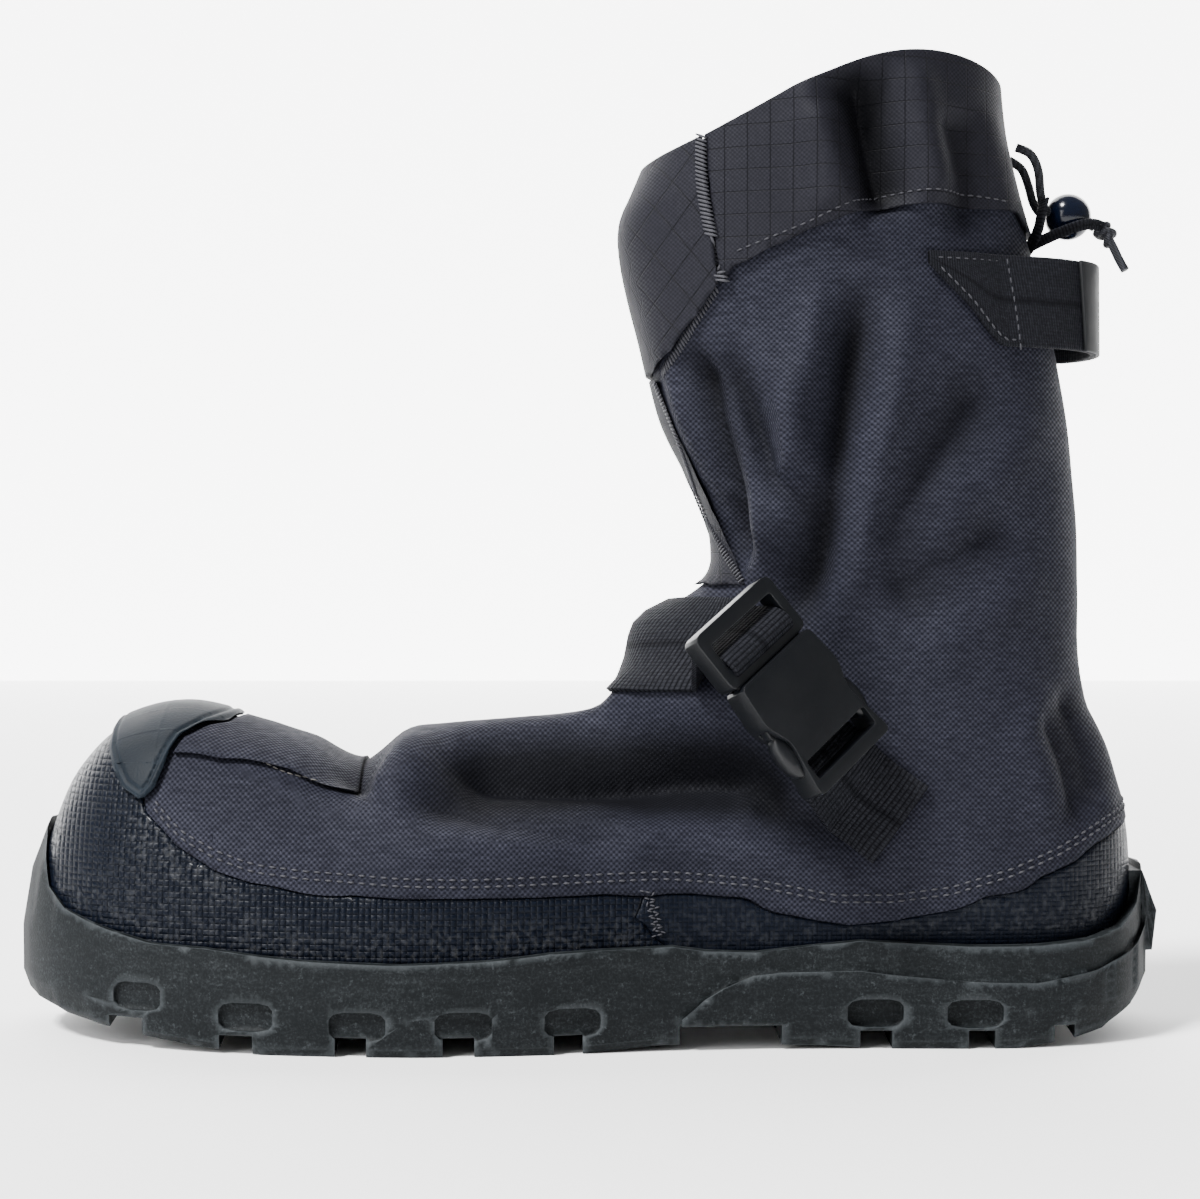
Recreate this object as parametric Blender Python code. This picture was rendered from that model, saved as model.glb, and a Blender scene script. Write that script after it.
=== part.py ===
"""Left winter overshoe: a hollow nylon boot on a lugged rubber sole, with its strap, buckle and cord.

The toe points along -X, the outer side of the foot along -Y, and +Z is up. The origin is on the tread,
in the middle of the heel. Tables give places along the sole as shares of SOLE_LENGTH from the toe, and
heights up the boot as 0 to 1 from the ground to the instep and 1 to 2 from there to the collar.
"""
import math

import bmesh
import bpy
from mathutils import Matrix, Vector
from mathutils.bvhtree import BVHTree

# Driving sizes of the boot, in metres
SOLE_LENGTH = 0.3148
BALL_WIDTH = 0.118
SHAFT_WIDTH = 0.088
INSTEP_HEIGHT = 0.089
COLLAR_HEIGHT = 0.264
HEEL_REST_ALONG = 0.796

# Walls and clearances
GAP = 0.0003
RAND_SINK = 0.0004
RAND_THICKNESS = 0.0010
BACKING_WALL = 0.0008
RAND_RECESS = RAND_SINK + RAND_THICKNESS + GAP
UPPER_WALL = RAND_RECESS + BACKING_WALL
SOLE_WALL = 0.0032
COLLAR_REACH = 0.012

# Sole
FLOOR_HEIGHT = 0.0115
SOLE_HEIGHT = 0.060
RIM_HEIGHT = 0.027
RAND_HEIGHT = 0.041
RAND_FOOT_HEIGHT = 0.016
TOE_ROLL = 0.008
EDGE_ROUND = 0.0018
TOE_SPRING = 0.010
LUG_DEPTH = 0.005
WAVE_STEP = 0.0012
SPUR_REACH = 0.0026
SPUR_WIDTH = 0.026
SPUR_BOTTOM = 0.022
SPUR_TOP = 0.044
POCKET_DEPTH = 0.0018
POCKET_HEIGHT = 0.0076
POCKET_WIDTH = 0.0152
POCKET_ROUNDNESS = 0.55
CHANNEL_WIDTH = 0.0045
CHANNEL_PLACE = 0.45
SPUR_ROOT = 0.006
SPUR_TAPER = 0.0015
INSOLE_THICKNESS = 0.003

# Overlays, webbing and hardware
PATCH_THICKNESS = 0.0020
STRIP_THICKNESS = 0.0012
CUFF_THICKNESS = 0.0014
TAB_THICKNESS = 0.0017
WEBBING_WIDTH = 0.025
WEBBING_THICKNESS = 0.0015
WEBBING_LIFT = 0.0013
BUCKLE_LENGTH = 0.052
BUCKLE_WIDTH = 0.031
BUCKLE_THICKNESS = 0.0085
PRONG_ROOT = 0.002
TAB_FREE_LENGTH = 0.011
LOOP_REACH = 0.012
LABEL_THICKNESS = 0.0014
LABEL_START = 0.36
LABEL_END = 0.64
CORD_DIAMETER = 0.0025
BALL_DIAMETER = 0.013
KNOT_DIAMETER = 0.0062
KNOT_WIDE = 1.25
KNOT_THIN = 0.90
KNOT_CLEARANCE = 0.0005
KNOT_PLACE = 8
BORE_WIDE = 1.65
BORE_TALL = 1.0

# Makes share * (1 - share) ** 2 reach 1 where it is largest, a third of the way to the front
LIFT_PEAK = 6.75

RING_POINTS = 24
FORM_RINGS = 31
OUTLINE_POINTS = 22
POCKET_POINTS = 12
CHANNEL_STEPS = 6
ROUTE_STEPS = 12
TAB_STATIONS = 6
LANES = (-1.0, -0.6, -0.2, 0.2, 0.6, 1.0)
SEARCH_REACH = 0.25
SEARCH_DEPTH = 0.02

# Sole outline: half-widths as shares of BALL_WIDTH
OUTLINE_COLUMNS = ("along", "outer", "inner")
OUTLINE = (
    (0.000, -0.045, 0.045),
    (0.020, 0.130, 0.205),
    (0.050, 0.235, 0.295),
    (0.100, 0.340, 0.375),
    (0.180, 0.430, 0.440),
    (0.270, 0.480, 0.462),
    (0.360, 0.500, 0.452),
    (0.450, 0.478, 0.405),
    (0.550, 0.425, 0.352),
    (0.650, 0.388, 0.335),
    (0.750, 0.375, 0.347),
    (0.840, 0.378, 0.360),
    (0.910, 0.350, 0.338),
    (0.960, 0.275, 0.268),
    (0.985, 0.180, 0.176),
    (1.000, 0.000, 0.000),
)

# Levels of the sole's side: shares of SOLE_HEIGHT, TOE_ROLL and EDGE_ROUND
LEVEL_COLUMNS = ("height", "toe_back", "heel_back", "side_in")
LEVELS = (
    (0.000, 0.55, 2.20, 1.00),
    (0.035, 0.25, 1.10, 0.35),
    (0.160, 0.02, 0.10, 0.00),
    (0.470, 0.00, 0.00, 0.00),
    (0.740, 0.33, 0.00, 0.15),
    (1.000, 1.05, 0.40, 0.90),
)

# Lift of the tread above the ground, as shares of TOE_SPRING
TREAD_COLUMNS = ("along", "rise")
TREAD = (
    (0.000, 1.00),
    (0.030, 0.76),
    (0.086, 0.50),
    (0.131, 0.32),
    (0.188, 0.11),
    (0.229, 0.00),
    (0.515, 0.00),
    (0.576, 0.16),
    (0.687, 0.16),
    (0.735, 0.00),
    (0.862, 0.00),
    (0.920, 0.16),
    (0.955, 0.40),
    (1.000, 1.10),
)

# Edges in side view; the height is a share of the size that each table's comment names
EDGE_COLUMNS = ("along", "height")

# Top edge of the rubber, height as a share of RIM_HEIGHT
RIM = (
    (-0.04, 2.14),
    (0.026, 2.13),
    (0.031, 1.85),
    (0.039, 1.50),
    (0.058, 1.31),
    (0.083, 1.21),
    (0.109, 1.13),
    (0.144, 1.04),
    (0.188, 1.02),
    (0.233, 0.96),
    (0.274, 0.92),
    (0.353, 0.89),
    (0.426, 0.92),
    (0.477, 0.98),
    (0.518, 1.00),
    (0.579, 1.02),
    (0.607, 0.97),
    (0.649, 0.95),
    (0.696, 1.01),
    (0.738, 1.06),
    (0.836, 1.00),
    (0.887, 1.00),
    (0.935, 1.04),
    (0.966, 1.13),
    (0.985, 1.33),
    (0.992, 1.56),
    (0.996, 1.69),
    (1.060, 1.70),
)

# Top of the proud heel block, height as a share of RIM_HEIGHT
WAVE = (
    (0.587, 0.31),
    (0.606, 0.50),
    (0.622, 0.61),
    (0.647, 0.73),
    (0.671, 0.76),
    (0.738, 0.77),
    (0.763, 0.73),
    (0.835, 0.66),
    (0.887, 0.64),
    (0.941, 0.74),
    (0.978, 0.90),
    (0.996, 1.08),
    (1.000, 1.24),
    (1.060, 1.44),
)

# Lower edge of the nylon, height as a share of RAND_HEIGHT
SEAM = (
    (-0.040, 2.60),
    (0.118, 2.60),
    (0.121, 1.95),
    (0.128, 1.66),
    (0.134, 1.51),
    (0.163, 1.29),
    (0.196, 1.16),
    (0.228, 1.08),
    (0.272, 1.04),
    (0.351, 1.00),
    (0.405, 0.99),
    (0.574, 1.02),
    (0.645, 0.975),
    (0.717, 0.866),
    (0.765, 0.866),
    (0.814, 0.917),
    (0.866, 1.034),
    (0.907, 1.163),
    (0.950, 1.327),
    (0.983, 1.434),
    (1.060, 1.47),
)

# Zigzag where the two rands join, height as a share of RAND_HEIGHT
ZIGZAG = (
    (0.560, 0.30),
    (0.560, 0.48),
    (0.545, 0.61),
    (0.570, 0.74),
    (0.545, 0.87),
    (0.563, 1.30),
)

# Notches between the side lugs: middle, width and sweep as shares of SOLE_LENGTH
NOTCH_COLUMNS = ("along", "width", "sweep")
NOTCHES = (
    (0.128, 0.030, -0.020),
    (0.223, 0.028, -0.020),
    (0.318, 0.026, -0.018),
    (0.406, 0.026, -0.014),
    (0.495, 0.024, -0.008),
    (0.628, 0.086, 0.000),
    (0.747, 0.027, 0.008),
    (0.834, 0.022, 0.012),
    (0.903, 0.018, 0.016),
)

# Grooves along the tread, as shares of the sole's length
CHANNEL_COLUMNS = ("start", "end")
CHANNELS = (
    (0.085, 0.590),
    (0.670, 0.950),
)

# Rounded pockets in the side wall, over the notches, height as a share of RIM_HEIGHT
POCKETS = (
    (0.128, 0.520),
    (0.224, 0.370),
    (0.318, 0.300),
    (0.406, 0.300),
    (0.496, 0.315),
    (0.750, 0.355),
    (0.834, 0.350),
)

# The boot form: a ring for each row, from the toe over the instep and round the heel to the collar.
# front and back are the ends of the ring in side view, outline is how far its width follows the sole,
# shaft its half-width as a share of SHAFT_WIDTH, widest where it is widest from back to front,
# square_back and square_front its roundness, and lift how far its sides rise above its ends.
FORM_COLUMNS = ("front_along", "front_up", "back_along", "back_up", "outline", "shaft", "widest",
                "square_back", "square_front", "lift")
FORM = (
    (0.0150, 0.40, 0.0150, 0.33, 1.00, 0.000, 0.50, 2.2, 2.2, 0.00),
    (0.0185, 0.53, 0.0180, 0.20, 1.00, 0.000, 0.46, 2.4, 2.2, 0.00),
    (0.0300, 0.64, 0.0290, 0.11, 1.00, 0.000, 0.43, 2.8, 2.2, 0.00),
    (0.0520, 0.81, 0.0570, 0.06, 1.00, 0.000, 0.39, 3.2, 2.2, 0.00),
    (0.0900, 0.94, 0.0970, 0.045, 1.00, 0.000, 0.37, 3.4, 2.2, 0.00),
    (0.1500, 0.995, 0.1550, 0.045, 1.00, 0.000, 0.35, 3.4, 2.2, 0.00),
    (0.2200, 0.94, 0.2260, 0.045, 1.00, 0.000, 0.35, 3.4, 2.1, 0.00),
    (0.2960, 0.855, 0.3020, 0.045, 1.00, 0.000, 0.36, 3.4, 2.0, 0.00),
    (0.3640, 0.940, 0.3850, 0.045, 1.00, 0.000, 0.34, 3.4, 2.0, 0.00),
    (0.4480, 0.965, 0.4800, 0.045, 1.00, 0.000, 0.34, 3.4, 1.9, 0.00),
    (0.5230, 1.005, 0.5880, 0.045, 1.00, 0.000, 0.34, 3.4, 1.9, 0.00),
    (0.5440, 1.063, 0.7150, 0.045, 0.55, 0.220, 0.38, 3.3, 1.9, 0.00),
    (0.5560, 1.137, 0.8600, 0.055, 0.00, 0.475, 0.42, 3.1, 1.9, 0.00),
    (0.5980, 1.180, 0.9560, 0.120, 0.00, 0.485, 0.45, 2.7, 2.0, 0.00),
    (0.6190, 1.215, 0.9850, 0.320, 0.00, 0.487, 0.47, 2.4, 2.0, 0.00),
    (0.6210, 1.269, 0.9890, 0.585, 0.00, 0.487, 0.50, 2.2, 2.0, 0.00),
    (0.6130, 1.326, 0.9740, 0.840, 0.00, 0.487, 0.50, 2.1, 2.1, 0.00),
    (0.5970, 1.383, 0.9470, 1.050, 0.00, 0.487, 0.50, 2.1, 2.1, 0.00),
    (0.5770, 1.457, 0.9440, 1.190, 0.00, 0.487, 0.50, 2.1, 2.1, 0.00),
    (0.5640, 1.543, 0.9410, 1.337, 0.00, 0.482, 0.50, 2.1, 2.1, 0.00),
    (0.5530, 1.623, 0.9290, 1.520, 0.00, 0.472, 0.50, 2.1, 2.1, 0.00),
    (0.5420, 1.714, 0.9060, 1.703, 0.00, 0.460, 0.50, 2.1, 2.1, 0.00),
    (0.5410, 1.770, 0.8870, 1.817, 0.00, 0.455, 0.50, 2.1, 2.1, 0.02),
    (0.5500, 1.813, 0.8760, 1.903, 0.00, 0.455, 0.50, 2.1, 2.1, 0.045),
    (0.5600, 1.855, 0.8720, 1.986, 0.00, 0.455, 0.50, 2.1, 2.1, 0.065),
)

# Overlays, as outlines in side view, with heights up the boot
SIDE_COLUMNS = ("along", "up")
TOE_PATCH = (
    (0.087, 1.15),
    (0.087, 0.94),
    (0.090, 0.884),
    (0.098, 0.83),
    (0.109, 0.77),
    (0.126, 0.735),
    (0.131, 0.742),
    (0.139, 0.774),
    (0.145, 0.828),
    (0.149, 0.87),
    (0.157, 0.918),
    (0.175, 0.954),
    (0.199, 0.982),
    (0.212, 1.15),
)
VAMP_STRIP = (
    (0.153, 0.860),
    (0.161, 0.906),
    (0.179, 0.942),
    (0.203, 0.972),
    (0.216, 1.15),
    (0.305, 1.15),
    (0.307, 0.775),
    (0.258, 0.812),
    (0.213, 0.847),
    (0.175, 0.858),
)
FRONT_PLACKET = (
    (0.450, 1.520),
    (0.567, 1.520),
    (0.645, 1.195),
    (0.450, 1.195),
)
CUFF_TAB = (
    (0.450, 1.529),
    (0.566, 1.529),
    (0.620, 1.654),
    (0.603, 1.936),
    (0.603, 2.300),
    (0.450, 2.300),
)
CUFF = (
    (0.6225, 1.654),
    (0.6320, 1.680),
    (0.6900, 1.723),
    (0.7370, 1.760),
    (0.7780, 1.773),
    (0.8270, 1.779),
    (0.8780, 1.776),
    (0.8950, 1.749),
    (1.0000, 1.740),
    (1.0000, 2.300),
    (0.6055, 2.300),
    (0.6055, 1.936),
)

# Centre line of the instep strap, round the boot: angle in degrees from the front, + to the inner side
STRAP_COLUMNS = ("angle", "up")
STRAP = (
    (-40.0, 1.100),
    (-20.0, 1.098),
    (0.0, 1.094),
    (20.0, 1.098),
    (45.0, 1.090),
    (66.0, 1.010),
    (82.0, 0.890),
    (100.0, 0.730),
)
STRAP_AXIS_ALONG = 0.72
STRAP_STATIONS = 28

# The buckle, on the outer side of the ankle
BUCKLE_ALONG = 0.666
BUCKLE_UP = 1.034
BUCKLE_TILT = 51.7
BUCKLE_TURN = 4.0
BUCKLE_ROLL = 33.0
TAB_END_ALONG = 0.772
TAB_END_UP = 0.665

# The buckle's own shape: places along it as shares of BUCKLE_LENGTH from its middle, widths as shares of
# half of BUCKLE_WIDTH, and heights as shares of BUCKLE_THICKNESS
BUCKLE_WAIST = -0.17
FRAME_CORNER = 0.0025
BODY_CORNER = 0.002
SLOT_CORNER = 0.001
FRAME_SLOT = (-0.42, -0.27)
TAB_SLOT = (0.32, 0.43)
FRAME_LEVELS = (0.08, 0.82)
PRONG_LEVELS = (0.30, 0.68)
BODY_COLUMNS = ("along", "half")
BODY = (
    (-0.17, 0.92),
    (0.06, 1.00),
    (0.20, 0.80),
    (0.50, 0.98),
)
PRONG_TIP = 0.25
PRONG_CLEFT = 0.02
ARM_OUT = 0.96
ARM_IN = 0.62
GUIDE_HALF = 0.26
ARM_TUCK = 0.84
TIP_TUCK = 0.80
SLOT_STRAP_PLACE = -0.40
SLOT_TAB_PLACE = 0.36

# The finger loop at the back, and its label: angle in degrees from the back, + to the inner side
LOOP_UP = 1.632
LOOP_COLUMNS = ("angle", "stand", "top", "bottom")
LOOP = (
    (-58.0, 0.00, 1.00, 0.72),
    (-46.0, 0.00, 1.00, -0.12),
    (-35.0, 0.00, 1.00, -1.00),
    (-27.0, 0.22, 1.00, -1.00),
    (-18.0, 0.62, 1.00, -1.00),
    (-9.0, 0.93, 1.00, -1.00),
    (0.0, 1.00, 1.00, -1.00),
    (9.0, 0.93, 1.00, -1.00),
    (18.0, 0.62, 1.00, -1.00),
    (27.0, 0.22, 1.00, -1.00),
    (35.0, 0.00, 1.00, -1.00),
    (46.0, 0.00, 1.00, -0.12),
    (58.0, 0.00, 1.00, 0.72),
)
LOOP_AXIS_ALONG = 0.72
LOOP_STATIONS = 27

# Routes of the cuff's cord, in metres
CORD_NEAR_ROUTE = (
    (0.0290, -0.0060, 0.2455),
    (0.0330, -0.0064, 0.2435),
    (0.0352, -0.0062, 0.2390),
    (0.0362, -0.0044, 0.2325),
    (0.0380, -0.0026, 0.2284),
    (0.0430, -0.0018, 0.2271),
    (0.0480, -0.0016, 0.2262),
    (0.0520, -0.0018, 0.2244),
    (0.0548, -0.0024, 0.2218),
    (0.0566, -0.0034, 0.2182),
    (0.0580, -0.0046, 0.2146),
    (0.0596, -0.0056, 0.2112),
)
CORD_FAR_ROUTE = (
    (0.0290, 0.0060, 0.2440),
    (0.0326, 0.0064, 0.2415),
    (0.0344, 0.0060, 0.2370),
    (0.0357, 0.0042, 0.2312),
    (0.0380, 0.0026, 0.2280),
    (0.0430, 0.0018, 0.2270),
    (0.0480, 0.0015, 0.2262),
    (0.0524, 0.0013, 0.2241),
)
BALL_CENTRE = (0.0446, 0.0, 0.2269)
BALL_AXIS = (0.99, 0.0, -0.12)
KNOT_CENTRE = (0.0550, -0.0012, 0.2220)
KNOT_AXIS = (0.0046, -0.0016, -0.0062)

FINISHES = {
    "rubber": ((0.045, 0.046, 0.047), 0.62, 0.0),
    "foam": ((0.05, 0.05, 0.055), 0.9, 0.0),
    "nylon": ((0.018, 0.018, 0.022), 0.7, 0.0),
    "rand": ((0.022, 0.022, 0.024), 0.55, 0.0),
    "patch": ((0.06, 0.065, 0.075), 0.6, 0.0),
    "ripstop": ((0.016, 0.016, 0.020), 0.65, 0.0),
    "webbing": ((0.012, 0.012, 0.013), 0.8, 0.0),
    "plastic": ((0.010, 0.010, 0.011), 0.38, 0.0),
    "cord": ((0.012, 0.012, 0.013), 0.75, 0.0),
}


def column(rows, names, name):
    """Values of one named column of a table."""
    place = names.index(name)
    return [row[place] for row in rows]


def hermite(low, high, slope_low, slope_high, span, part):
    """Cubic between two values with given slopes."""
    square = part * part
    cube = square * part
    return ((2 * cube - 3 * square + 1) * low + (cube - 2 * square + part) * span * slope_low
            + (3 * square - 2 * cube) * high + (cube - square) * span * slope_high)


def read_curve(keys, values, key):
    """Value at a key on a smooth curve that never overshoots its points."""
    if key <= keys[0]:
        return values[0]
    if key >= keys[-1]:
        return values[-1]
    place = max(index for index in range(len(keys) - 1) if keys[index] <= key)
    slopes = []
    for index in (place, place + 1):
        before = max(index - 1, 0)
        after = min(index + 1, len(keys) - 1)
        left = (values[index] - values[before]) / max(keys[index] - keys[before], 1e-9)
        right = (values[after] - values[index]) / max(keys[after] - keys[index], 1e-9)
        if index in (0, len(keys) - 1):
            slopes.append(left + right)
        elif left * right <= 0:
            slopes.append(0.0)
        else:
            slopes.append(2 * left * right / (left + right))
    span = keys[place + 1] - keys[place]
    part = (key - keys[place]) / span
    return hermite(values[place], values[place + 1], slopes[0], slopes[1], span, part)


def along(share):
    """X of a place along the sole."""
    return (share - HEEL_REST_ALONG) * SOLE_LENGTH


def up(share):
    """Z of a height up the boot."""
    if share <= 1:
        return share * INSTEP_HEIGHT
    return INSTEP_HEIGHT + (share - 1) * (COLLAR_HEIGHT - INSTEP_HEIGHT)


def outline_half(share, side):
    """Half-width of the sole on one side; read against the turn from toe to heel so both ends are round."""
    turns = [math.acos(1 - 2 * value) for value in column(OUTLINE, OUTLINE_COLUMNS, "along")]
    turn = math.acos(1 - 2 * min(max(share, 0.0), 1.0))
    return BALL_WIDTH * read_curve(turns, column(OUTLINE, OUTLINE_COLUMNS, side), turn)


def tread_rise(share):
    """Lift of the tread above the ground."""
    keys = column(TREAD, TREAD_COLUMNS, "along")
    return TOE_SPRING * read_curve(keys, column(TREAD, TREAD_COLUMNS, "rise"), share)


def finish(name):
    """Material of one finish."""
    colour, roughness, metallic = FINISHES[name]
    material = bpy.data.materials.get(name) or bpy.data.materials.new(name)
    material.use_nodes = True
    shader = material.node_tree.nodes["Principled BSDF"]
    shader.inputs["Base Color"].default_value = (*colour, 1.0)
    shader.inputs["Roughness"].default_value = roughness
    shader.inputs["Metallic"].default_value = metallic
    return material


def place_mesh(name, mesh_data):
    """New object in the scene for a finished bmesh."""
    mesh = bpy.data.meshes.new(name)
    mesh_data.to_mesh(mesh)
    mesh_data.free()
    piece = bpy.data.objects.new(name, mesh)
    bpy.context.scene.collection.objects.link(piece)
    return piece


def complete(piece, finish_name, sharp_degrees=40):
    """Give a finished piece its material and shading."""
    piece.data.materials.clear()
    piece.data.materials.append(finish(finish_name))
    piece.data.shade_smooth()
    piece.data.set_sharp_from_angle(angle=math.radians(sharp_degrees))
    return piece


def shape(body, tool, operation):
    """Join, cut or trim a body with a tool, which is used up."""
    modifier = body.modifiers.new("shape", "BOOLEAN")
    modifier.operation = operation
    modifier.object = tool
    modifier.solver = "EXACT"
    graph = bpy.context.evaluated_depsgraph_get()
    result = bpy.data.meshes.new_from_object(body.evaluated_get(graph))
    body.modifiers.clear()
    old = body.data
    body.data = result
    bpy.data.meshes.remove(old)
    bpy.data.objects.remove(tool)
    clean = bmesh.new()
    clean.from_mesh(result)
    bmesh.ops.remove_doubles(clean, verts=clean.verts, dist=2e-6)
    bmesh.ops.dissolve_degenerate(clean, dist=1e-6, edges=clean.edges)
    clean.to_mesh(result)
    clean.free()
    return body


def close_with_strips(data, row):
    """Close a long ring with strips from side to side, so that each strip is flat across."""
    count = len(row)
    for index in range(count // 2):
        corners = [row[index], row[index + 1], row[count - index - 1], row[-index]]
        data.faces.new(corners[:3] if index == 0 else corners if index < count // 2 - 1
                       else [corners[0], corners[1], corners[3]])


def loft(name, rings, flat_bottom=False):
    """Closed body through rings of points, each quad split the same way."""
    data = bmesh.new()
    rows = [[data.verts.new(point) for point in ring] for ring in rings]
    count = len(rings[0])
    for lower, higher in zip(rows, rows[1:]):
        for index in range(count):
            after = (index + 1) % count
            data.faces.new((lower[index], lower[after], higher[after]))
            data.faces.new((lower[index], higher[after], higher[index]))
    if flat_bottom:
        close_with_strips(data, rows[0])
    else:
        data.faces.new(list(reversed(rows[0])))
    data.faces.new(rows[-1])
    bmesh.ops.triangulate(data, faces=[face for face in data.faces if len(face.verts) > 3])
    bmesh.ops.recalc_face_normals(data, faces=data.faces)
    return place_mesh(name, data)


def prism(name, outline, start, end, plane="side"):
    """Straight body with an outline in side view (X, Z) or from above (X, Y)."""
    data = bmesh.new()
    if plane == "side":
        corners = [data.verts.new((x, start, z)) for x, z in outline]
        travel = Vector((0, end - start, 0))
    else:
        corners = [data.verts.new((x, y, start)) for x, y in outline]
        travel = Vector((0, 0, end - start))
    face = data.faces.new(corners)
    pushed = bmesh.ops.extrude_face_region(data, geom=[face])
    moved = [item for item in pushed["geom"] if isinstance(item, bmesh.types.BMVert)]
    bmesh.ops.translate(data, vec=travel, verts=moved)
    bmesh.ops.recalc_face_normals(data, faces=data.faces)
    wide = [face for face in data.faces if len(face.verts) > 4]
    bmesh.ops.triangulate(data, faces=wide, ngon_method="EAR_CLIP")
    return place_mesh(name, data)


def form_values(step):
    """Columns of the boot form at a step between two rows."""
    last = len(FORM) - 1
    place = min(int(step), last - 1)
    part = step - place
    rows = [FORM[min(max(place + shift, 0), last)] for shift in (-1, 0, 1, 2)]
    values = {}
    for index, name in enumerate(FORM_COLUMNS):
        before, low, high, after = (row[index] for row in rows)
        values[name] = hermite(low, high, (high - before) / 2, (after - low) / 2, 1.0, part)
    return values


def form_ring(step):
    """One ring of the boot form."""
    row = form_values(step)
    front = Vector((along(row["front_along"]), 0, up(row["front_up"])))
    back = Vector((along(row["back_along"]), 0, up(row["back_up"])))
    rise = front - back
    spine = Vector((-rise.z, 0, rise.x)).normalized()
    if spine.z < 0 and row["back_up"] > 0.6:
        spine = -spine
    lift = row["lift"] * (COLLAR_HEIGHT - INSTEP_HEIGHT)
    inset = SOLE_WALL + GAP
    half = {}
    for side in ("outer", "inner"):
        foot = max(outline_half(row["back_along"], side) - inset, 0.002)
        half[side] = row["outline"] * foot + row["shaft"] * SHAFT_WIDTH
    middle = (half["inner"] - half["outer"]) / 2
    reach = (half["inner"] + half["outer"]) / 2
    points = []
    for index in range(RING_POINTS):
        turn = 2 * math.pi * index / RING_POINTS
        forward = math.cos(turn)
        square = row["square_front"] if forward > 0 else row["square_back"]
        across = math.copysign(abs(math.sin(turn)) ** (2 / square), math.sin(turn))
        climb = math.copysign(abs(forward) ** (2 / square), forward)
        room = 1 - row["widest"] if forward > 0 else row["widest"]
        share = row["widest"] + climb * room
        point = back + rise * share + Vector((0, middle + reach * across, 0))
        points.append(point + spine * lift * LIFT_PEAK * share * (1 - share) ** 2)
    return points


def form_rings(offset=0.0, reach=0.0):
    """Rings of the boot form, moved outward by an offset and drawn out past the collar by a reach."""
    steps = [(len(FORM) - 1) * index / (FORM_RINGS - 1) for index in range(FORM_RINGS)]
    rings = [form_ring(step) for step in steps]
    moved = []
    for level, ring in enumerate(rings):
        before = rings[max(level - 1, 0)]
        after = rings[min(level + 1, FORM_RINGS - 1)]
        middle = sum(ring, Vector()) / RING_POINTS
        row = []
        for index, point in enumerate(ring):
            around = ring[(index + 1) % RING_POINTS] - ring[index - 1]
            normal = around.cross(after[index] - before[index]).normalized()
            if level and normal.dot(point - middle) < 0:
                normal = -normal
            if not level and normal.x > 0:
                normal = -normal
            row.append(point + normal * offset)
        moved.append(row)
    if reach:
        lean = Vector((0, 0, reach))
        moved.append([point + lean for point in moved[-1]])
    return moved


def form(name, offset=0.0, reach=0.0):
    """The boot form as a solid body."""
    return loft(name, form_rings(offset, reach))


def edge_line(rows, height_size, offset):
    """An edge's table as points in side view."""
    shares = column(rows, EDGE_COLUMNS, "along")
    heights = column(rows, EDGE_COLUMNS, "height")
    return [(along(share), height * height_size + offset) for share, height in zip(shares, heights)]


def above(name, points, height_size, top, offset=0.0):
    """Tool that fills all above a line in side view."""
    line = edge_line(points, height_size, offset)
    return prism(name, line + [(line[-1][0], top), (line[0][0], top)], -BALL_WIDTH, BALL_WIDTH)


def below(name, points, height_size, bottom, offset=0.0):
    """Tool that fills all below a line in side view."""
    line = edge_line(points, height_size, offset)
    return prism(name, line + [(line[-1][0], bottom), (line[0][0], bottom)], -BALL_WIDTH, BALL_WIDTH)


def over_floor(name, clear):
    """Tool that fills all above the sole's flat floor."""
    return above(name, ((-0.1, 1.0), (1.1, 1.0)), FLOOR_HEIGHT, COLLAR_HEIGHT * 1.3, clear)


def sole_shell(name, grow):
    """Outer body of the sole, before its rim is cut."""
    rings = []
    for values in LEVELS:
        row = dict(zip(LEVEL_COLUMNS, values))
        toe = along(0) + row["toe_back"] * TOE_ROLL - grow
        heel = along(1) - row["heel_back"] * EDGE_ROUND + grow
        tuck = row["side_in"] * EDGE_ROUND - grow
        level = row["height"] * SOLE_HEIGHT
        fade = max(0.0, 1 - level / RIM_HEIGHT)
        ring = []
        for side, sign in (("outer", -1), ("inner", 1)):
            for index in range(OUTLINE_POINTS):
                turn = math.pi * index / OUTLINE_POINTS
                if sign > 0:
                    turn = math.pi - turn
                share = (1 - math.cos(turn)) / 2
                half = outline_half(share, side) - tuck * math.sin(turn)
                x = toe + share * (heel - toe)
                ring.append(Vector((x, sign * half, level + tread_rise(share) * fade)))
        rings.append(ring)
    return loft(name, rings, flat_bottom=True)


def make_notch(values):
    """Swept groove across the tread."""
    row = dict(zip(NOTCH_COLUMNS, values))
    roof = LUG_DEPTH + tread_rise(row["along"])
    reach = BALL_WIDTH * 0.7
    half = row["width"] * SOLE_LENGTH / 2
    x = along(row["along"])
    bend = row["sweep"] * SOLE_LENGTH
    outline = ((x - half, -reach), (x - half + bend, 0), (x - half, reach),
               (x + half, reach), (x + half + bend, 0), (x + half, -reach))
    return prism("notch", outline, -LUG_DEPTH, roof, "above")


def make_channel(start, end, side):
    """Groove along the tread between side lugs and middle lugs."""
    sign = 1 if side == "inner" else -1
    inner_edge = []
    outer_edge = []
    for index in range(CHANNEL_STEPS + 1):
        share = start + (end - start) * index / CHANNEL_STEPS
        middle = sign * outline_half(share, side) * CHANNEL_PLACE
        inner_edge.append((along(share), middle - sign * CHANNEL_WIDTH / 2))
        outer_edge.append((along(share), middle + sign * CHANNEL_WIDTH / 2))
    return prism("channel", inner_edge + outer_edge[::-1], -LUG_DEPTH, LUG_DEPTH * 0.86, "above")


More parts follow.
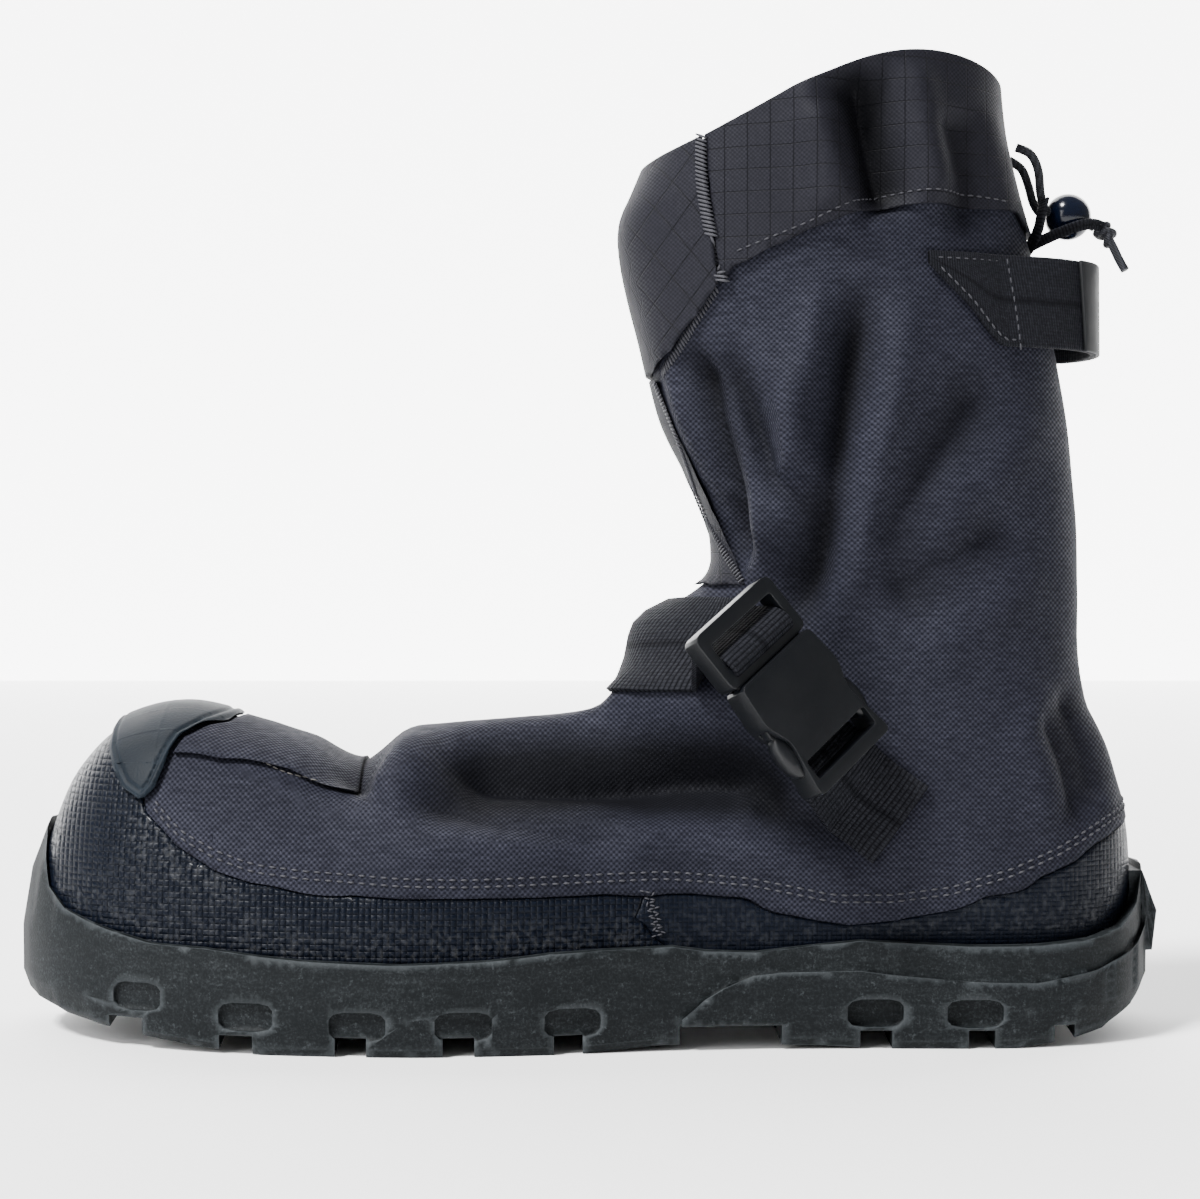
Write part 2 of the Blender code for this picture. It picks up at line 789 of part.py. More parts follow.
def make_pocket(x, height, side):
    """Tool for one rounded pocket, set square to the side wall."""
    sign = 1 if side == "inner" else -1
    share = x / SOLE_LENGTH + HEEL_REST_ALONG
    step = 1 / RING_POINTS ** 2
    here = Vector((along(share), sign * outline_half(share, side), height))
    ahead = Vector((along(share + step), sign * outline_half(share + step, side), height))
    run = (ahead - here).normalized()
    outward = Vector((run.y, -run.x, 0)) * -sign
    data = bmesh.new()
    ring = []
    for index in range(POCKET_POINTS):
        turn = 2 * math.pi * (index + 0.5) / POCKET_POINTS
        across = math.cos(turn)
        climb = math.sin(turn)
        wide = math.copysign(abs(across) ** POCKET_ROUNDNESS, across) * POCKET_WIDTH / 2
        tall = math.copysign(abs(climb) ** POCKET_ROUNDNESS, climb) * POCKET_HEIGHT / 2
        ring.append(data.verts.new(here - outward * POCKET_DEPTH + run * wide + Vector((0, 0, tall))))
    face = data.faces.new(ring)
    pushed = bmesh.ops.extrude_face_region(data, geom=[face])
    moved = [item for item in pushed["geom"] if isinstance(item, bmesh.types.BMVert)]
    bmesh.ops.translate(data, vec=outward * POCKET_DEPTH * 4, verts=moved)
    bmesh.ops.recalc_face_normals(data, faces=data.faces)
    bmesh.ops.triangulate(data, faces=[face for face in data.faces if len(face.verts) > 4])
    return place_mesh("pocket", data)


def make_outsole():
    """Cup sole with rim, heel step, spur, pockets, notches and channels."""
    sole = sole_shell("outsole", 0.0)
    shape(sole, below("rim", RIM, RIM_HEIGHT, -LUG_DEPTH), "INTERSECT")
    proud = sole_shell("proud", WAVE_STEP)
    shape(proud, below("wave", WAVE, RIM_HEIGHT, -LUG_DEPTH), "INTERSECT")
    shape(sole, proud, "UNION")
    back = along(1)
    spur = ((back - SPUR_ROOT, SPUR_BOTTOM), (back + SPUR_REACH / 2, SPUR_BOTTOM),
            (back + SPUR_REACH, (SPUR_BOTTOM + SPUR_TOP) / 2), (back - SPUR_TAPER, SPUR_TOP),
            (back - SPUR_ROOT, SPUR_TOP))
    shape(sole, prism("spur", spur, -SPUR_WIDTH / 2, SPUR_WIDTH / 2), "UNION")
    cavity = form("cavity", GAP - RAND_SINK, COLLAR_REACH)
    shape(cavity, over_floor("floor", 0.0), "INTERSECT")
    shape(sole, cavity, "DIFFERENCE")
    for row in NOTCHES:
        shape(sole, make_notch(row), "DIFFERENCE")
    for values in CHANNELS:
        row = dict(zip(CHANNEL_COLUMNS, values))
        for side in ("outer", "inner"):
            shape(sole, make_channel(row["start"], row["end"], side), "DIFFERENCE")
    for x, height in edge_line(POCKETS, RIM_HEIGHT, 0.0):
        for side in ("outer", "inner"):
            shape(sole, make_pocket(x, height, side), "DIFFERENCE")
    return complete(sole, "rubber", 30)


def make_upper():
    """Hollow boot, thinner below the seam where the rands lie in its wall."""
    upper = form("upper")
    recess = below("recess", SEAM, RAND_HEIGHT, -LUG_DEPTH)
    shape(recess, form("core", -RAND_RECESS), "DIFFERENCE")
    shape(upper, recess, "DIFFERENCE")
    shape(upper, form("inside", -UPPER_WALL, COLLAR_REACH), "DIFFERENCE")
    shape(upper, over_floor("floor", GAP), "INTERSECT")
    return complete(upper, "nylon", 50)


def make_insole():
    """Foam sheet inside the upper, on the sole's floor."""
    sheet = form("insole", -UPPER_WALL - GAP)
    low = FLOOR_HEIGHT + GAP
    slab = ((along(-0.1), low), (along(1.1), low), (along(1.1), low + INSOLE_THICKNESS),
            (along(-0.1), low + INSOLE_THICKNESS))
    shape(sheet, prism("slab", slab, -BALL_WIDTH, BALL_WIDTH), "INTERSECT")
    return complete(sheet, "foam")


def make_rand(name, toe_side):
    """Coated band in the recess of the upper's wall, cut at the zigzag."""
    rand = form(name, -RAND_SINK)
    shape(rand, form("behind", -RAND_SINK - RAND_THICKNESS), "DIFFERENCE")
    shape(rand, below("seam", SEAM, RAND_HEIGHT, RAND_FOOT_HEIGHT, -GAP), "INTERSECT")
    shift = -GAP / 2 if toe_side else GAP / 2
    edge = [(x + shift, z) for x, z in edge_line(ZIGZAG, RAND_HEIGHT, 0.0)]
    far = along(-0.1) if toe_side else along(1.1)
    keep = edge + [(far, edge[-1][1] + RAND_HEIGHT * 2), (far, edge[0][1])]
    shape(rand, prism("side", keep, -BALL_WIDTH, BALL_WIDTH), "INTERSECT")
    return complete(rand, "rand")


def make_overlay(name, outline, thickness, finish_name):
    """Piece lying on the upper, with its outline cut in side view."""
    piece = form(name, GAP + thickness)
    shape(piece, form("under", GAP, COLLAR_REACH), "DIFFERENCE")
    sides = [(along(share), up(height)) for share, height
             in zip(column(outline, SIDE_COLUMNS, "along"), column(outline, SIDE_COLUMNS, "up"))]
    shape(piece, prism("outline", sides, -BALL_WIDTH, BALL_WIDTH), "INTERSECT")
    return complete(piece, finish_name)


def make_skin():
    """Search tree of the boot form's surface."""
    rings = form_rings()
    points = [point for ring in rings for point in ring]
    faces = []
    for level in range(len(rings) - 1):
        for index in range(RING_POINTS):
            after = (index + 1) % RING_POINTS
            low = level * RING_POINTS
            high = low + RING_POINTS
            faces.append((low + index, low + after, high + after))
            faces.append((low + index, high + after, high + index))
    return BVHTree.FromPolygons(points, faces)


def skin_at(skin, start, direction):
    """Outermost point of the boot form along a ray from inside, with its outward normal."""
    place, normal, _, _ = skin.ray_cast(start + direction * SEARCH_REACH, -direction)
    if normal.dot(direction) < 0:
        normal = -normal
    return place, normal


def sheet_body(name, lower, upper):
    """Closed strip between a lower and an upper grid of points."""
    data = bmesh.new()
    low = [[data.verts.new(point) for point in row] for row in lower]
    high = [[data.verts.new(point) for point in row] for row in upper]
    rows = len(low)
    columns = len(low[0])
    for i in range(rows - 1):
        for j in range(columns - 1):
            data.faces.new((low[i][j], low[i][j + 1], low[i + 1][j + 1], low[i + 1][j]))
            data.faces.new((high[i][j], high[i + 1][j], high[i + 1][j + 1], high[i][j + 1]))
    for i in range(rows - 1):
        data.faces.new((low[i][0], low[i + 1][0], high[i + 1][0], high[i][0]))
        data.faces.new((low[i][-1], high[i][-1], high[i + 1][-1], low[i + 1][-1]))
    for j in range(columns - 1):
        data.faces.new((low[0][j], high[0][j], high[0][j + 1], low[0][j + 1]))
        data.faces.new((low[-1][j], low[-1][j + 1], high[-1][j + 1], high[-1][j]))
    bmesh.ops.triangulate(data, faces=data.faces)
    if data.calc_volume(signed=True) < 0:
        bmesh.ops.reverse_faces(data, faces=data.faces)
    return place_mesh(name, data)


def webbing(name, skin, centres, hints, flat_ends=()):
    """Strap lying on the boot: centres are its middle line, hints point outward from the boot.

    flat_ends gives stations, as (place, across, normal), that lie under the buckle instead.
    """
    lower = []
    upper = []
    for index, centre in enumerate(centres):
        run = centres[min(index + 1, len(centres) - 1)] - centres[max(index - 1, 0)]
        across = hints[index].cross(run).normalized()
        low_row = []
        high_row = []
        for side in LANES:
            start = centre + across * side * WEBBING_WIDTH / 2
            place, normal = skin_at(skin, start - hints[index] * SEARCH_DEPTH, hints[index])
            low_row.append(place + normal * WEBBING_LIFT)
            high_row.append(place + normal * (WEBBING_LIFT + WEBBING_THICKNESS))
        lower.append(low_row)
        upper.append(high_row)
    for place, across, normal in flat_ends:
        lower.append([place + across * side * WEBBING_WIDTH / 2 for side in LANES])
        upper.append([point + normal * WEBBING_THICKNESS for point in lower[-1]])
    return complete(sheet_body(name, lower, upper), "webbing")


def buckle_axes():
    """Directions of the buckle: along it, across it and out of its face."""
    tilt = math.radians(BUCKLE_TILT)
    turn = math.radians(BUCKLE_TURN)
    roll = math.radians(BUCKLE_ROLL)
    length_axis = Vector((math.cos(turn) * math.cos(tilt), math.sin(turn),
                          -math.cos(turn) * math.sin(tilt)))
    level_out = (Vector((0, -1, 0)) + length_axis * length_axis.y).normalized()
    level_across = level_out.cross(length_axis)
    across = level_across * math.cos(roll) - level_out * math.sin(roll)
    return length_axis, across, length_axis.cross(across)


def buckle_seat(skin):
    """Frame of the buckle: origin under its middle, x along it, y across, z out of its face.

    It is moved out from the boot until its whole underside is clear of it.
    """
    middle = Vector((along(BUCKLE_ALONG), 0, up(BUCKLE_UP)))
    length_axis, across, out = buckle_axes()
    side = Vector((0, -1, 0))
    stand = 0.0
    for step in range(-4, 5):
        for lane in range(-3, 4):
            offset = length_axis * BUCKLE_LENGTH * step / 8 + across * BUCKLE_WIDTH * lane / 6
            probe = middle + offset
            found, _ = skin_at(skin, Vector((probe.x, 0, probe.z)), side)
            stand = max(stand, -found.y + offset.y)
    middle.y = -stand + (WEBBING_LIFT + WEBBING_THICKNESS + GAP) / out.y
    seat = Matrix((length_axis, across, out)).transposed().to_4x4()
    seat.translation = middle
    return seat


def rounded_outline(corners, radius, steps=3):
    """Outline with each corner turned on an arc."""
    points = []
    count = len(corners)
    for index in range(count):
        here = Vector(corners[index])
        before = (Vector(corners[index - 1]) - here).normalized()
        after = (Vector(corners[(index + 1) % count]) - here).normalized()
        start = here + before * radius
        end = here + after * radius
        for step in range(steps + 1):
            part = step / steps
            points.append(start.lerp(here, part).lerp(here.lerp(end, part), part))
    return points


def plate(name, outline, bottom, top):
    """Flat body with an outline in the buckle's own x and y."""
    return prism(name, [(x, y) for x, y in outline], bottom, top, "above")


def prong_outline(grow):
    """Guide and the two spring arms of the male half, grown by a clearance."""
    half = BUCKLE_WIDTH / 2
    length = BUCKLE_LENGTH
    arm_out = half * ARM_OUT + grow
    arm_in = half * ARM_IN - grow
    guide = half * GUIDE_HALF + grow
    root = length * BUCKLE_WAIST - PRONG_ROOT
    tip = length * PRONG_TIP + grow
    cleft = length * PRONG_CLEFT
    return ((root, -arm_out * ARM_TUCK), (tip / 2, -arm_out), (tip, -arm_out * TIP_TUCK), (tip, -arm_in),
            (cleft, -arm_in), (cleft, -guide), (tip * ARM_TUCK, -guide), (tip * ARM_TUCK, guide),
            (cleft, guide), (cleft, arm_in), (tip, arm_in), (tip, arm_out * TIP_TUCK),
            (tip / 2, arm_out), (root, arm_out * ARM_TUCK))


def slot_outline(ends):
    """Outline of a webbing slot between two places along the buckle."""
    start, end = (BUCKLE_LENGTH * share for share in ends)
    half = WEBBING_WIDTH / 2
    return rounded_outline(((start, -half), (end, -half), (end, half), (start, half)), SLOT_CORNER)


def make_buckle(seat):
    """Side-release buckle, fastened: male half with its slot and arms, female half with its mouth."""
    half = BUCKLE_WIDTH / 2
    length = BUCKLE_LENGTH
    thick = BUCKLE_THICKNESS
    waist = length * BUCKLE_WAIST
    frame = rounded_outline(((-length / 2, -half), (waist, -half), (waist, half), (-length / 2, half)),
                            FRAME_CORNER)
    low, high = (thick * share for share in FRAME_LEVELS)
    male = plate("buckle_male", frame, low, high)
    shape(male, plate("slot", slot_outline(FRAME_SLOT), -thick, thick * 2), "DIFFERENCE")
    low, high = (thick * share for share in PRONG_LEVELS)
    shape(male, plate("prongs", prong_outline(0.0), low, high), "UNION")
    near = [(length * share, half * width) for share, width in zip(column(BODY, BODY_COLUMNS, "along"),
                                                                   column(BODY, BODY_COLUMNS, "half"))]
    near[0] = (waist + GAP, near[0][1])
    body = [(x, -y) for x, y in near] + near[::-1]
    female = plate("buckle_female", rounded_outline(body, BODY_CORNER), 0.0, thick)
    shape(female, plate("mouth", prong_outline(GAP), low - GAP, high + GAP), "DIFFERENCE")
    shape(female, plate("tab_slot", slot_outline(TAB_SLOT), -thick, thick * 2), "DIFFERENCE")
    for piece in (male, female):
        piece.data.transform(seat)
        complete(piece, "plastic")


def make_strap_and_tab(skin, seat):
    """Instep strap from the inner heel to the buckle, and the sewn tab behind the buckle."""
    axis_x = along(STRAP_AXIS_ALONG)
    out = seat.to_3x3() @ Vector((0, 0, 1))
    across = seat.to_3x3() @ Vector((0, 1, 0))
    centres = []
    hints = []
    angles = column(STRAP, STRAP_COLUMNS, "angle")
    heights = column(STRAP, STRAP_COLUMNS, "up")
    for index in range(STRAP_STATIONS):
        angle = angles[-1] + (angles[0] - angles[-1]) * index / (STRAP_STATIONS - 1)
        turn = math.radians(angle)
        direction = Vector((-math.cos(turn), math.sin(turn), 0))
        start = Vector((axis_x, 0, up(read_curve(angles, heights, angle))))
        place, _ = skin_at(skin, start, direction)
        centres.append(place)
        hints.append(direction)
    drop = -(WEBBING_THICKNESS + GAP)
    strap_end = seat @ Vector((BUCKLE_LENGTH * SLOT_STRAP_PLACE, 0, drop))
    webbing("instep_strap", skin, centres, hints, ((strap_end, across, out),))
    side = Vector((0, -1, 0))
    start = seat @ Vector((BUCKLE_LENGTH / 2 + TAB_FREE_LENGTH, 0, 0))
    end = Vector((along(TAB_END_ALONG), 0, up(TAB_END_UP)))
    tab_centres = []
    for index in range(TAB_STATIONS):
        point = end.lerp(Vector((start.x, 0, start.z)), index / (TAB_STATIONS - 1))
        place, _ = skin_at(skin, point, side)
        tab_centres.append(place)
    tab_end = seat @ Vector((BUCKLE_LENGTH * SLOT_TAB_PLACE, 0, drop))
    webbing("heel_tab", skin, tab_centres, [side] * TAB_STATIONS, ((tab_end, -across, out),))


def loop_station(skin, share):
    """Station of the finger loop: middle point, outward direction and its two edges."""
    angles = column(LOOP, LOOP_COLUMNS, "angle")
    angle = angles[0] + (angles[-1] - angles[0]) * share
    turn = math.radians(angle)
    direction = Vector((math.cos(turn), math.sin(turn), 0))
    height = up(LOOP_UP)
    stand = LOOP_REACH * read_curve(angles, column(LOOP, LOOP_COLUMNS, "stand"), angle)
    top = WEBBING_WIDTH / 2 * read_curve(angles, column(LOOP, LOOP_COLUMNS, "top"), angle)
    bottom = WEBBING_WIDTH / 2 * read_curve(angles, column(LOOP, LOOP_COLUMNS, "bottom"), angle)
    free = stand / LOOP_REACH
    centre, _ = skin_at(skin, Vector((along(LOOP_AXIS_ALONG), 0, height)), direction)
    points = []
    for part in (0.0, 0.5, 1.0):
        z = height + bottom + (top - bottom) * part
        place, normal = skin_at(skin, Vector((along(LOOP_AXIS_ALONG), 0, z)), direction)
        place = place.lerp(Vector((centre.x, centre.y, z)), free)
        points.append((place, normal.lerp(direction, free).normalized(), direction * stand))
    return points


def make_pull_loop(skin):
    """Webbing loop standing off the back of the shaft, with a bare label on its outer side."""
    lower = []
    upper = []
    label_low = []
    label_high = []
    for index in range(LOOP_STATIONS):
        share = index / (LOOP_STATIONS - 1)
        rows = ([], [])
        label = ([], [])
        for place, out, stand in loop_station(skin, share):
            base = place + stand + out * WEBBING_LIFT
            rows[0].append(base)
            rows[1].append(base + out * WEBBING_THICKNESS)
            label[0].append(base + out * (WEBBING_THICKNESS + GAP))
            label[1].append(base + out * (WEBBING_THICKNESS + GAP + LABEL_THICKNESS))
        lower.append(rows[0])
        upper.append(rows[1])
        if LABEL_START <= share <= LABEL_END:
            label_low.append(label[0])
            label_high.append(label[1])
    complete(sheet_body("pull_loop", lower, upper), "webbing")
    complete(sheet_body("pull_label", label_low, label_high), "patch")


def smooth_route(points, spacing):
    """Points read at even steps from a smooth curve through a route."""
    route = [Vector(point) for point in points]
    fine = []
    for index in range(len(route) - 1):
        before = route[max(index - 1, 0)]
        low = route[index]
        high = route[index + 1]
        after = route[min(index + 2, len(route) - 1)]
        for step in range(ROUTE_STEPS):
            part = step / ROUTE_STEPS
            fine.append(hermite(low, high, (high - before) / 2, (after - low) / 2, 1.0, part))
    fine.append(route[-1])
    lengths = [0.0]
    for first, second in zip(fine, fine[1:]):
        lengths.append(lengths[-1] + (second - first).length)
    count = max(int(round(lengths[-1] / spacing)), 4)
    result = []
    place = 0
    for index in range(count + 1):
        target = lengths[-1] * index / count
        while place < len(lengths) - 2 and lengths[place + 1] < target:
            place += 1
        span = max(lengths[place + 1] - lengths[place], 1e-9)
        result.append(fine[place].lerp(fine[place + 1], min((target - lengths[place]) / span, 1.0)))
    return result


def make_cord(name, route):
    """Round cord along its route."""
    curve = bpy.data.curves.new(name, "CURVE")
    curve.dimensions = "3D"
    curve.bevel_depth = CORD_DIAMETER / 2
    curve.bevel_resolution = 2
    curve.use_fill_caps = True
    points = smooth_route(route, CORD_DIAMETER * 1.2)
    spline = curve.splines.new("POLY")
    spline.points.add(len(points) - 1)
    for item, point in zip(spline.points, points):
        item.co = (*point, 1.0)
    curve.materials.append(finish("cord"))
    piece = bpy.data.objects.new(name, curve)
    bpy.context.scene.collection.objects.link(piece)
    return piece


def make_cord_lock():
    """Ball with a flat bore for the two strands, and the knot behind it."""
    axis = Vector(BALL_AXIS).normalized()
    turn = Vector((1, 0, 0)).rotation_difference(axis).to_matrix().to_4x4()
    data = bmesh.new()
    bmesh.ops.create_uvsphere(data, u_segments=16, v_segments=10, radius=BALL_DIAMETER / 2)
    ball = place_mesh("cord_lock", data)
    wide = CORD_DIAMETER * BORE_WIDE
    tall = CORD_DIAMETER * BORE_TALL
    bore = rounded_outline(((-wide, -tall), (wide, -tall), (wide, tall), (-wide, tall)), tall * 0.8)
    tool = prism("bore", [(point.x, point.y) for point in bore], -BALL_DIAMETER, BALL_DIAMETER, "above")
    tool.data.transform(Matrix(((0, 0, 1, 0), (1, 0, 0, 0), (0, 1, 0, 0), (0, 0, 0, 1))))
    shape(ball, tool, "DIFFERENCE")
    ball.data.transform(Matrix.Translation(Vector(BALL_CENTRE)) @ turn)
    return complete(ball, "plastic")


def make_knot():
    """Knot that holds both strands behind the ball; the near strand runs through it to its end."""
    axis = Vector(KNOT_AXIS).normalized()
    turn = Vector((0, 0, 1)).rotation_difference(axis).to_matrix().to_4x4()
    data = bmesh.new()
    bmesh.ops.create_uvsphere(data, u_segments=14, v_segments=8, radius=KNOT_DIAMETER / 2)
    bmesh.ops.scale(data, vec=(KNOT_THIN, KNOT_WIDE, KNOT_THIN), verts=data.verts)
    knot = place_mesh("cord_knot", data)
    knot.data.transform(Matrix.Translation(Vector(KNOT_CENTRE)) @ turn)
    start = Vector(CORD_NEAR_ROUTE[KNOT_PLACE])
    bore_radius = CORD_DIAMETER / 2 + KNOT_CLEARANCE
    tool = bmesh.new()
    bmesh.ops.create_cone(tool, cap_ends=True, segments=10, radius1=bore_radius, radius2=bore_radius,
                          depth=KNOT_DIAMETER * 2)
    bore = place_mesh("bore", tool)
    bore.data.transform(Matrix.Translation(start) @ turn)
    shape(knot, bore, "DIFFERENCE")
    return complete(knot, "cord")


def main():
    """Build the whole overshoe."""
    for piece in list(bpy.data.objects):
        bpy.data.objects.remove(piece)
    make_outsole()
    make_upper()
    make_insole()
    make_rand("toe_rand", True)
    make_rand("heel_rand", False)
    make_overlay("toe_patch", TOE_PATCH, PATCH_THICKNESS, "patch")
    make_overlay("vamp_strip", VAMP_STRIP, STRIP_THICKNESS, "webbing")
    make_overlay("front_placket", FRONT_PLACKET, STRIP_THICKNESS, "nylon")
    make_overlay("cuff", CUFF, CUFF_THICKNESS, "ripstop")
    make_overlay("cuff_tab", CUFF_TAB, TAB_THICKNESS, "ripstop")
    skin = make_skin()
    seat = buckle_seat(skin)
    make_buckle(seat)
    make_strap_and_tab(skin, seat)
    make_pull_loop(skin)
    make_cord("drawcord_near", CORD_NEAR_ROUTE)
    make_cord("drawcord_far", CORD_FAR_ROUTE)
    make_cord_lock()
    make_knot()


main()
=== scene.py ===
"""Looks of the left winter overshoe, built round its CAD frame.

The toe points along -X, the outer side of the foot along -Y, and +Z is up; the origin is on the tread in
the middle of the heel. Cloth pieces start from the frame's own solids, take the smooth form of the boot
and then its folds. Places along the boot are shares of the sole's length from the toe, heights are shares
of the collar's height.
"""
import math

import bmesh
import bpy
import numpy as np
from mathutils import Matrix, Vector, noise
from mathutils.bvhtree import BVHTree


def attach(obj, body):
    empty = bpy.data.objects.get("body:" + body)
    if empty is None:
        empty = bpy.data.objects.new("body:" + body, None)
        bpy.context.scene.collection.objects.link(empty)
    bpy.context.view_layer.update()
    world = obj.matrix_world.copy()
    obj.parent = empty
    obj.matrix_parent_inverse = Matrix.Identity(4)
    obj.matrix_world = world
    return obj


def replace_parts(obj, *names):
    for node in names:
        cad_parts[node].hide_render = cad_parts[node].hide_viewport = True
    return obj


bl_info = {
    "name": "Winter Overshoe",
    "version": (1, 0, 0),
    "blender": (4, 5, 0),
    "location": "View3D > Sidebar > Overshoe",
    "description": "Dresses the frame of a winter overshoe in nylon, rubber and webbing",
    "category": "Add Mesh",
}

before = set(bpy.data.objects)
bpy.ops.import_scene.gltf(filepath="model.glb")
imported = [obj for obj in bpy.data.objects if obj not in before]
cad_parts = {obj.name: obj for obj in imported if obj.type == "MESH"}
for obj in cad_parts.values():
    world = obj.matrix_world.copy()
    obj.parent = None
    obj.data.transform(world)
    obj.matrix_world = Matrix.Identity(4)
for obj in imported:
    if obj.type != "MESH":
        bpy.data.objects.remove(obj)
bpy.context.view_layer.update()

# The boot's form, as the frame was built: a ring for each row from the toe over the instep to the collar
HEEL_REST_ALONG = 0.796
LIFT_PEAK = 6.75
RING_POINTS = 24
FORM_RINGS = 31
OUTLINE_POINTS = 22
SOLE_CLEARANCE = 0.0035
UPPER_WALL = 0.0025
OUTLINE_COLUMNS = ("along", "outer", "inner")
OUTLINE = (
    (0.000, -0.045, 0.045),
    (0.020, 0.130, 0.205),
    (0.050, 0.235, 0.295),
    (0.100, 0.340, 0.375),
    (0.180, 0.430, 0.440),
    (0.270, 0.480, 0.462),
    (0.360, 0.500, 0.452),
    (0.450, 0.478, 0.405),
    (0.550, 0.425, 0.352),
    (0.650, 0.388, 0.335),
    (0.750, 0.375, 0.347),
    (0.840, 0.378, 0.360),
    (0.910, 0.350, 0.338),
    (0.960, 0.275, 0.268),
    (0.985, 0.180, 0.176),
    (1.000, 0.000, 0.000),
)
FORM_COLUMNS = ("front_along", "front_up", "back_along", "back_up", "outline", "shaft", "widest",
                "square_back", "square_front", "lift")
FORM = (
    (0.0150, 0.40, 0.0150, 0.33, 1.00, 0.000, 0.50, 2.2, 2.2, 0.00),
    (0.0185, 0.53, 0.0180, 0.20, 1.00, 0.000, 0.46, 2.4, 2.2, 0.00),
    (0.0300, 0.64, 0.0290, 0.11, 1.00, 0.000, 0.43, 2.8, 2.2, 0.00),
    (0.0520, 0.81, 0.0570, 0.06, 1.00, 0.000, 0.39, 3.2, 2.2, 0.00),
    (0.0900, 0.94, 0.0970, 0.045, 1.00, 0.000, 0.37, 3.4, 2.2, 0.00),
    (0.1500, 0.995, 0.1550, 0.045, 1.00, 0.000, 0.35, 3.4, 2.2, 0.00),
    (0.2200, 0.94, 0.2260, 0.045, 1.00, 0.000, 0.35, 3.4, 2.1, 0.00),
    (0.2960, 0.855, 0.3020, 0.045, 1.00, 0.000, 0.36, 3.4, 2.0, 0.00),
    (0.3640, 0.940, 0.3850, 0.045, 1.00, 0.000, 0.34, 3.4, 2.0, 0.00),
    (0.4480, 0.965, 0.4800, 0.045, 1.00, 0.000, 0.34, 3.4, 1.9, 0.00),
    (0.5230, 1.005, 0.5880, 0.045, 1.00, 0.000, 0.34, 3.4, 1.9, 0.00),
    (0.5440, 1.063, 0.7150, 0.045, 0.55, 0.220, 0.38, 3.3, 1.9, 0.00),
    (0.5560, 1.137, 0.8600, 0.055, 0.00, 0.475, 0.42, 3.1, 1.9, 0.00),
    (0.5980, 1.180, 0.9560, 0.120, 0.00, 0.485, 0.45, 2.7, 2.0, 0.00),
    (0.6190, 1.215, 0.9850, 0.320, 0.00, 0.487, 0.47, 2.4, 2.0, 0.00),
    (0.6210, 1.269, 0.9890, 0.585, 0.00, 0.487, 0.50, 2.2, 2.0, 0.00),
    (0.6130, 1.326, 0.9740, 0.840, 0.00, 0.487, 0.50, 2.1, 2.1, 0.00),
    (0.5970, 1.383, 0.9470, 1.050, 0.00, 0.487, 0.50, 2.1, 2.1, 0.00),
    (0.5770, 1.457, 0.9440, 1.190, 0.00, 0.487, 0.50, 2.1, 2.1, 0.00),
    (0.5640, 1.543, 0.9410, 1.337, 0.00, 0.482, 0.50, 2.1, 2.1, 0.00),
    (0.5530, 1.623, 0.9290, 1.520, 0.00, 0.472, 0.50, 2.1, 2.1, 0.00),
    (0.5420, 1.714, 0.9060, 1.703, 0.00, 0.460, 0.50, 2.1, 2.1, 0.00),
    (0.5410, 1.770, 0.8870, 1.817, 0.00, 0.455, 0.50, 2.1, 2.1, 0.02),
    (0.5500, 1.813, 0.8760, 1.903, 0.00, 0.455, 0.50, 2.1, 2.1, 0.045),
    (0.5600, 1.855, 0.8720, 1.986, 0.00, 0.455, 0.50, 2.1, 2.1, 0.065),
)

# Lower edge of the nylon: place along the sole, and height in metres
SEAM = (
    (0.134, 0.0619), (0.163, 0.0529), (0.196, 0.0476), (0.228, 0.0443), (0.272, 0.0426),
    (0.351, 0.0410), (0.405, 0.0406), (0.574, 0.0418), (0.645, 0.0400), (0.717, 0.0355),
    (0.765, 0.0355), (0.814, 0.0376), (0.866, 0.0424), (0.907, 0.0477), (0.950, 0.0544),
    (0.983, 0.0588), (1.060, 0.0603),
)

